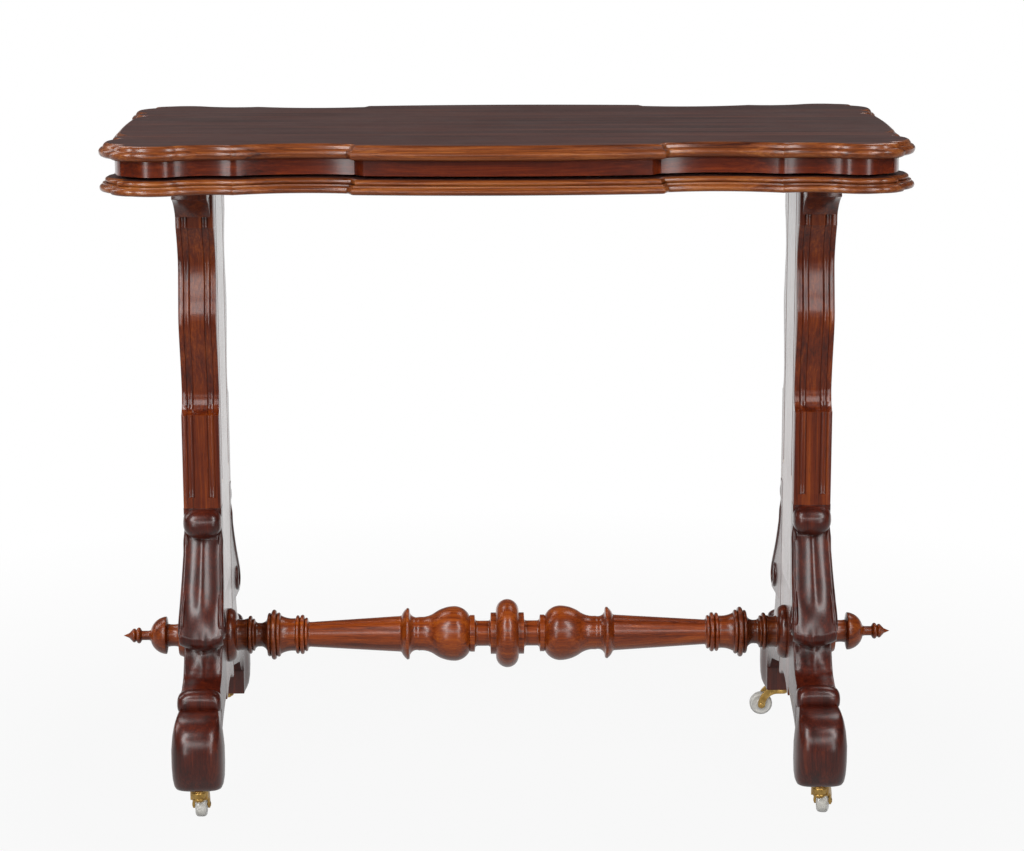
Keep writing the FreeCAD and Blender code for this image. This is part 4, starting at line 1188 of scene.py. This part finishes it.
# %% [markdown]
# Each level of the leg is one row of points: a wavy front from left to right, then both sides. The rib
# is a bell curve in the middle and each gouged flank a bell curve the other way, because bell curves
# fade into their surroundings without a seam.

# %% Leg levels
def leg_front():
    """Front of the leg at each height, from the head down to the collar."""
    start = np.array((BLOCK_Y, HEAD_Z - HEAD_R))
    shaft = soft_curve([start] + [on_leg(pair) for pair in SHAFT_CURVE], 12)
    lip = arc_points(shaft_foot, on_leg(LIP_FRONT), on_leg(LIP_BACK), 9)
    neck = soft_curve([on_leg(pair) for pair in NECK_CURVE], 10)
    head = [(BLOCK_Y, LEG_TOP), (BLOCK_Y, HEAD_Z), (BLOCK_Y, HEAD_Z - 0.6 * HEAD_R)]
    under_lip = [on_leg(LIP_BACK), (on_leg(LIP_BACK) + on_leg(NECK_CURVE[0])) / 2]
    foot = [(collar[0], z) for z in np.linspace(collar[1], root[0][1] + 1.0, 4)]
    return np.vstack([head, shaft[:-1], lip, under_lip, neck, foot])


def leg_row(front, z):
    """One level of the leg: across the front from left to right, then back along both sides."""
    half = between(z, WIDTHS)
    back = between(z, BACKS)
    crest = np.exp(-(ACROSS / between(z, RIB_WIDTHS)) ** 2)
    gouge = np.exp(-((np.abs(ACROSS) - GOUGE_AT) / GOUGE_WIDTH) ** 2)
    over = np.clip((np.abs(ACROSS) - ROUND_FROM) / (1 - ROUND_FROM), 0, 1)
    relief = between(z, RIB_HEIGHTS) * (crest - CREST_LEVEL) - between(z, HOLLOWS) * gouge
    relief -= ROUND_DEPTH * (1 - np.sqrt(1 - over ** 2 * 0.999))
    ys = np.maximum(front + relief, back + 0.4)
    zs = z - LIP_DROP * between(z, DROPS) * (1 - np.abs(ACROSS) ** 1.5)
    row = list(zip(ACROSS * half, ys, zs))
    sides = []
    for share in SIDE_STEPS:
        sides.append((CHEEK_HALF + share * (half - CHEEK_HALF), back + share * (ys[0] - back)))
    row += [(x, y, z) for x, y in sides[::-1]]
    row += [(-x, y, z) for x, y in sides]
    return row


rows = [leg_row(front, z) for front, z in leg_front()]
leg_body = mesh_from([point for row in rows for point in row], tube_faces(len(rows), len(rows[0])))
print("leg body of", len(leg_body.vertices), "points")

# %% [markdown]
# The side of the leg carries a raised bead that follows the scroll and curls round an eye behind the
# lip. It is a tube swept along that path and sunk into the face until only its back stands out. Both
# sides get one, so the leg looks carved from every direction.

# %% Scroll line
BEAD_R = 3.4
BEAD_RISE = 1.6
SCROLL = [(15.0, 0.916), (17.5, 0.858), (25.0, 0.789), (38.0, 0.709), (53.5, 0.64), (64.0, 0.593),
          (66.5, 0.555), (60.0, 0.525), (49.5, 0.52), (41.0, 0.54), (38.5, 0.575), (43.5, 0.604),
          (51.0, 0.607)]


def swept_tube(path, radius, around=10):
    """A tube along a path, tapered at both ends."""
    turn = np.linspace(0, 2 * math.pi, around, endpoint=False)
    points = []
    for i, p in enumerate(path):
        way = path[min(i + 1, len(path) - 1)] - path[max(i - 1, 0)]
        across = np.cross(way / np.linalg.norm(way), (1.0, 0, 0))
        across /= np.linalg.norm(across)
        lift = np.cross(across, way / np.linalg.norm(way))
        taper = min(1.0, 0.5 + 0.1 * i, 0.5 + 0.1 * (len(path) - 1 - i))
        points.append(p + radius * taper * (np.outer(np.cos(turn), across) + np.outer(np.sin(turn), lift)))
    return mesh_from(np.vstack(points), tube_faces(len(path), around))


flat_path = soft_curve([on_leg(pair) for pair in SCROLL], 6)
beads = []
for side in (-1, 1):
    path = [(side * (between(z, WIDTHS) + BEAD_RISE - BEAD_R), y, z) for y, z in flat_path]
    beads.append(swept_tube(np.array(path), BEAD_R))
print("two scroll beads of", len(flat_path), "rings")

# %% [markdown]
# The rolls at the head and above the toe are plump cushions, and the toe is a block rounded on every
# side. All are made from one rounded square, the superellipse: a high power keeps flat faces with
# round corners, a low one makes a ball. A roll may have one power below and another above. The toe is
# drawn by heights above the castor, with its fronts measured out from the cheek.

# %% Rolls, toe and the four legs
COLLAR_R = 13.0
COLLAR_HALF = 23.3
HEAD_POWERS = (2.2, 3.4)
COLLAR_POWERS = (6.0, 2.8)
TOE_H = 79.0
TOE_LEVELS = (0.0, 0.3, 1.0, 2.4, 4.5, 8.0, 12.0, 18.0, 26.0, 35.0, 44.0, 52.0, 59.0, 64.5, 69.0, 72.5,
              75.5, 77.5, 78.6, TOE_H)
TOE_FRONTS = ((0.0, 145.0), (0.3, 147.0), (1.0, 148.8), (4.5, 152.5), (18.0, 158.8), (30.0, 161.4),
              (44.0, 162.0), (55.0, 159.5), (64.5, 153.5), (72.0, 144.5), (76.5, 135.0), (78.6, 125.0),
              (TOE_H, 116.0))
TOE_HALVES = ((0.0, 22.6), (0.3, 23.6), (1.0, 24.5), (4.5, 26.0), (12.0, 27.2), (26.0, 27.8),
              (45.0, 27.7), (60.0, 26.2), (70.0, 24.2), (76.0, 22.2), (TOE_H, 20.0))
TOE_POWER = 3.2
TOE_BACK = EDGE_IN + 101.0
TOE_MIDDLE = EDGE_IN + 129.0
TOE_ROUND = 12.0


def rounded(angle, power):
    """Cosine and sine of an angle, squared up by a power above two."""
    turn = np.column_stack([np.cos(angle), np.sin(angle)])
    return np.sign(turn) * np.abs(turn) ** (2 / power)


def cushion(half, radius, powers, middle, steps=56, around=48):
    """A roll that lies along X, with one power below and one above."""
    low_power, high_power = powers
    along = np.linspace(0.0, math.pi, steps + 1)
    points = []
    for angle in along:
        for turn in np.linspace(0, 2 * math.pi, around, endpoint=False):
            power = low_power + (high_power - low_power) * (1 + math.sin(turn)) / 2
            reach, out = rounded(np.array([angle]), power)[0]
            out = max(radius * out, 0.05)
            y = middle[0] + out * math.cos(turn)
            z = middle[1] + out * math.sin(turn)
            points.append((-half * reach, y, z))
    return mesh_from(points, tube_faces(steps + 1, around))


def toe_block():
    """Rounded in front of its middle, and drawn in towards the width of the root behind it."""
    turn = np.linspace(0, math.pi, 49)
    shares = np.linspace(0.15, 1.0, 8)
    points = []
    for level in TOE_LEVELS:
        z = CASTOR_H + level
        half = between(level, TOE_HALVES)
        front = EDGE_IN + between(level, TOE_FRONTS)
        middle = min(TOE_MIDDLE, front - TOE_ROUND)
        plan = rounded(turn, TOE_POWER)
        points += [(half * c, middle + (front - middle) * s, z) for c, s in plan]
        root_half = min(half, ROOT_HALF) - 0.3
        drawn = [(half + (root_half - half) * t * t * (3 - 2 * t), middle + t * (TOE_BACK - middle))
                 for t in shares]
        points += [(-x, y, z) for x, y in drawn]
        points += [(x, y, z) for x, y in drawn[::-1]]
    return mesh_from(points, tube_faces(len(TOE_LEVELS), len(turn) + 2 * len(shares)))


head_roll = cushion(HEAD_HALF, HEAD_R, HEAD_POWERS, (BLOCK_Y, HEAD_Z))
collar_roll = cushion(COLLAR_HALF, COLLAR_R, COLLAR_POWERS, collar)
leg_mesh = joined([leg_body, head_roll, collar_roll, toe_block()] + beads)
leg_mesh.transform(Matrix.Translation((POST_X, 0, 0)))
four_corners("leg", leg_mesh, "leg", smooth_angle=36.0)
print("four legs of", len(leg_mesh.vertices), "points")

# %% [markdown]
# ## Castors
# Each castor has a brass socket plate with its pin, a swan-neck horn with two arms, and a porcelain
# wheel on a brass axle. They are small, so their shapes matter more than their finish: a moulded
# plate, a waisted hub, arms with rounded edges and a wheel with a raised rim round its eye. They are
# drawn with the pivot on Z and the wheel trailing along X, then turned to where each one points.

# %% Castor sizes
wheel_low, wheel_high = mm_box("rear_left_castor_wheel")
socket_low, socket_high = mm_box("rear_left_castor_socket")
horn_low, horn_high = mm_box("rear_left_castor_horn")
axle_low, axle_high = mm_box("rear_left_castor_axle")
WHEEL_R = (wheel_high[2] - wheel_low[2]) / 2
WHEEL_HALF = (wheel_high[1] - wheel_low[1]) / 2
TRAIL = abs((wheel_low[0] + wheel_high[0]) - (socket_low[0] + socket_high[0])) / 2
PLATE_R = (socket_high[0] - socket_low[0]) / 2
ARM_OUT = (horn_high[1] - horn_low[1]) / 2
AXLE_END = (axle_high[1] - axle_low[1]) / 2
ARM_T = 2.4
EYE_R = 4.2
HUB_HEAD = horn_high[2]
HUB_FOOT = HUB_HEAD - 10.0
SHOULDER = 8.7
ARM_DEPTH = 6.0
PIVOT_R = 2.6
# Share of the arm's thickness, and how far its outline is drawn in there
ARM_ROUND = ((0.0, 0.6), (0.08, 0.2), (0.25, 0.0), (0.75, 0.0), (0.92, 0.2), (1.0, 0.6))
print("castor wheels of radius", round(WHEEL_R, 2), "mm trailing by", round(TRAIL, 2), "mm")

# %% [markdown]
# Socket, hub, axle and wheel are turned, so the lathe of the stretcher makes them too. Only the arms
# are flat: one outline, drawn in a little at both faces so that the edges are round.

# %% Castor shapes
def socket_mesh():
    rivet = socket_low[2]
    line = [(rivet, 0.05), (rivet, 3.9), (rivet + 0.6, 4.5), (rivet + 1.4, 4.5), (rivet + 1.5, PIVOT_R),
            (HUB_HEAD, PIVOT_R), (HUB_HEAD + 0.3, PLATE_R - 1.2), (HUB_HEAD + 0.8, PLATE_R - 0.4),
            (HUB_HEAD + 1.4, PLATE_R - 0.1), (HUB_HEAD + 2.0, PLATE_R - 0.4),
            (HUB_HEAD + 2.3, PLATE_R - 1.0), (CASTOR_H, PLATE_R), (CASTOR_H, 3.4),
            (socket_high[2] - 0.5, 3.4), (socket_high[2], 0.05)]
    return lathe(ease_line(np.array(line), 0.25), (0, 0, 0), (0, 0, 1), 48)


def arm_outline():
    crook = np.array((TRAIL - EYE_R / 2, (WHEEL_R + HUB_HEAD + ARM_DEPTH) / 2))
    upper = arc_points((SHOULDER, HUB_HEAD), crook, (TRAIL + EYE_R, WHEEL_R), 14)
    turn = np.linspace(0, -math.pi, 14)[:-1]
    eye = np.column_stack([TRAIL + EYE_R * np.cos(turn), WHEEL_R + EYE_R * np.sin(turn)])
    lower = arc_points((TRAIL - EYE_R, WHEEL_R), crook - ARM_DEPTH, (SHOULDER, HUB_FOOT), 12)
    return np.vstack([upper, eye, lower, [(SHOULDER, HUB_FOOT), (0.0, HUB_FOOT), (0.0, HUB_HEAD)]])


def horn_mesh():
    hub = [(HUB_FOOT, PIVOT_R + 0.05), (HUB_FOOT, 6.6), (HUB_FOOT + 0.7, 7.3), (HUB_FOOT + 2.1, 7.4),
           (HUB_FOOT + 2.8, 7.0), (HUB_FOOT + 3.6, 7.6), (HUB_FOOT + 6.3, 8.3), (HUB_HEAD - 1.2, 8.4),
           (HUB_HEAD - 0.2, 8.0), (HUB_HEAD, 7.2), (HUB_HEAD, PIVOT_R + 0.05)]
    outline = arm_outline()
    inward = outline.mean(axis=0) - outline
    inward /= np.linalg.norm(inward, axis=1)[:, None]
    meshes = [lathe(ease_line(np.array(hub), 0.3), (0, 0, 0), (0, 0, 1), 48)]
    for low in (-ARM_OUT, ARM_OUT - ARM_T):
        rows = []
        for share, shrink in ARM_ROUND:
            rows += [(p[0], low + share * ARM_T, p[1]) for p in outline + inward * shrink]
        meshes.append(mesh_from(rows, tube_faces(len(ARM_ROUND), len(outline))))
    return joined(meshes)


def axle_mesh():
    half = [(AXLE_END, 0.05), (AXLE_END, 1.6), (AXLE_END - 0.3, 2.5), (AXLE_END - 0.7, 2.8), (ARM_OUT, 1.7)]
    line = np.vstack([np.array(half) * (-1, 1), half[::-1]])
    return lathe(line, (TRAIL, 0, WHEEL_R), (0, 1, 0), 32)


def wheel_mesh():
    half = np.array([(WHEEL_HALF - 0.4, 1.8), (WHEEL_HALF, 2.2), (WHEEL_HALF, 5.2), (WHEEL_HALF - 0.3, 5.8),
                     (WHEEL_HALF - 0.6, 6.4), (WHEEL_HALF - 0.6, 9.0), (WHEEL_HALF - 0.3, 9.8),
                     (WHEEL_HALF - 0.3, 10.6), (WHEEL_HALF - 0.8, 11.7), (WHEEL_HALF - 1.9, 12.7),
                     (WHEEL_HALF - 3.5, 13.2), (0.0, WHEEL_R)])
    whole = np.vstack([half * (-1, 1), half[:-1][::-1], half[:1] * (-1, 1)])
    return lathe(ease_line(whole, 0.3), (TRAIL, 0, WHEEL_R), (0, 1, 0), 64)


def placed_castor(mesh, place):
    """Turns a castor's mesh to where the castor at a corner points, and moves it there."""
    pivot = sum(mm_box(place + "_castor_socket")) / 2
    wheel = sum(mm_box(place + "_castor_wheel")) / 2
    heading = math.atan2(wheel[1] - pivot[1], wheel[0] - pivot[0])
    mesh.transform(Matrix.Translation((pivot[0], pivot[1], 0)) @ Matrix.Rotation(heading, 4, "Z"))
    return mesh


makers = {"socket": (socket_mesh, "brass"), "horn": (horn_mesh, "brass"), "axle": (axle_mesh, "brass"),
          "wheel": (wheel_mesh, "porcelain")}
for corner in CORNERS:
    for name, (maker, finish) in makers.items():
        shape = placed_castor(maker(), corner)
        piece("%s_castor_%s" % (corner, name), shape, finish, smooth_angle=36.0)
print("four castors")

# %% [markdown]
# ## Pieces that stay as the CAD made them
# Cheeks, core blocks, uprights, battens, pins, springs and dowels are plain boards and rods, so their
# CAD meshes are already right. They could be drawn again, but that would add nothing to see. They only
# need a finish: polished where they show, plain where they slide.

# %% Finishes for the carried-over nodes
kept = {"inner_cheek": "cheek", "outer_cheek": "cheek", "core_block": "post", "upright": "plain",
        "batten": "plain", "guide_pins": "brass", "friction_springs": "brass",
        "batten_screws": "steel", "leg_dowels": "plain"}
for name, node in frame["nodes"].items():
    for ending, finish in kept.items():
        if name.endswith(ending):
            node.data.materials.clear()
            node.data.materials.append(finishes[finish])
print("finishes on the carried-over nodes")
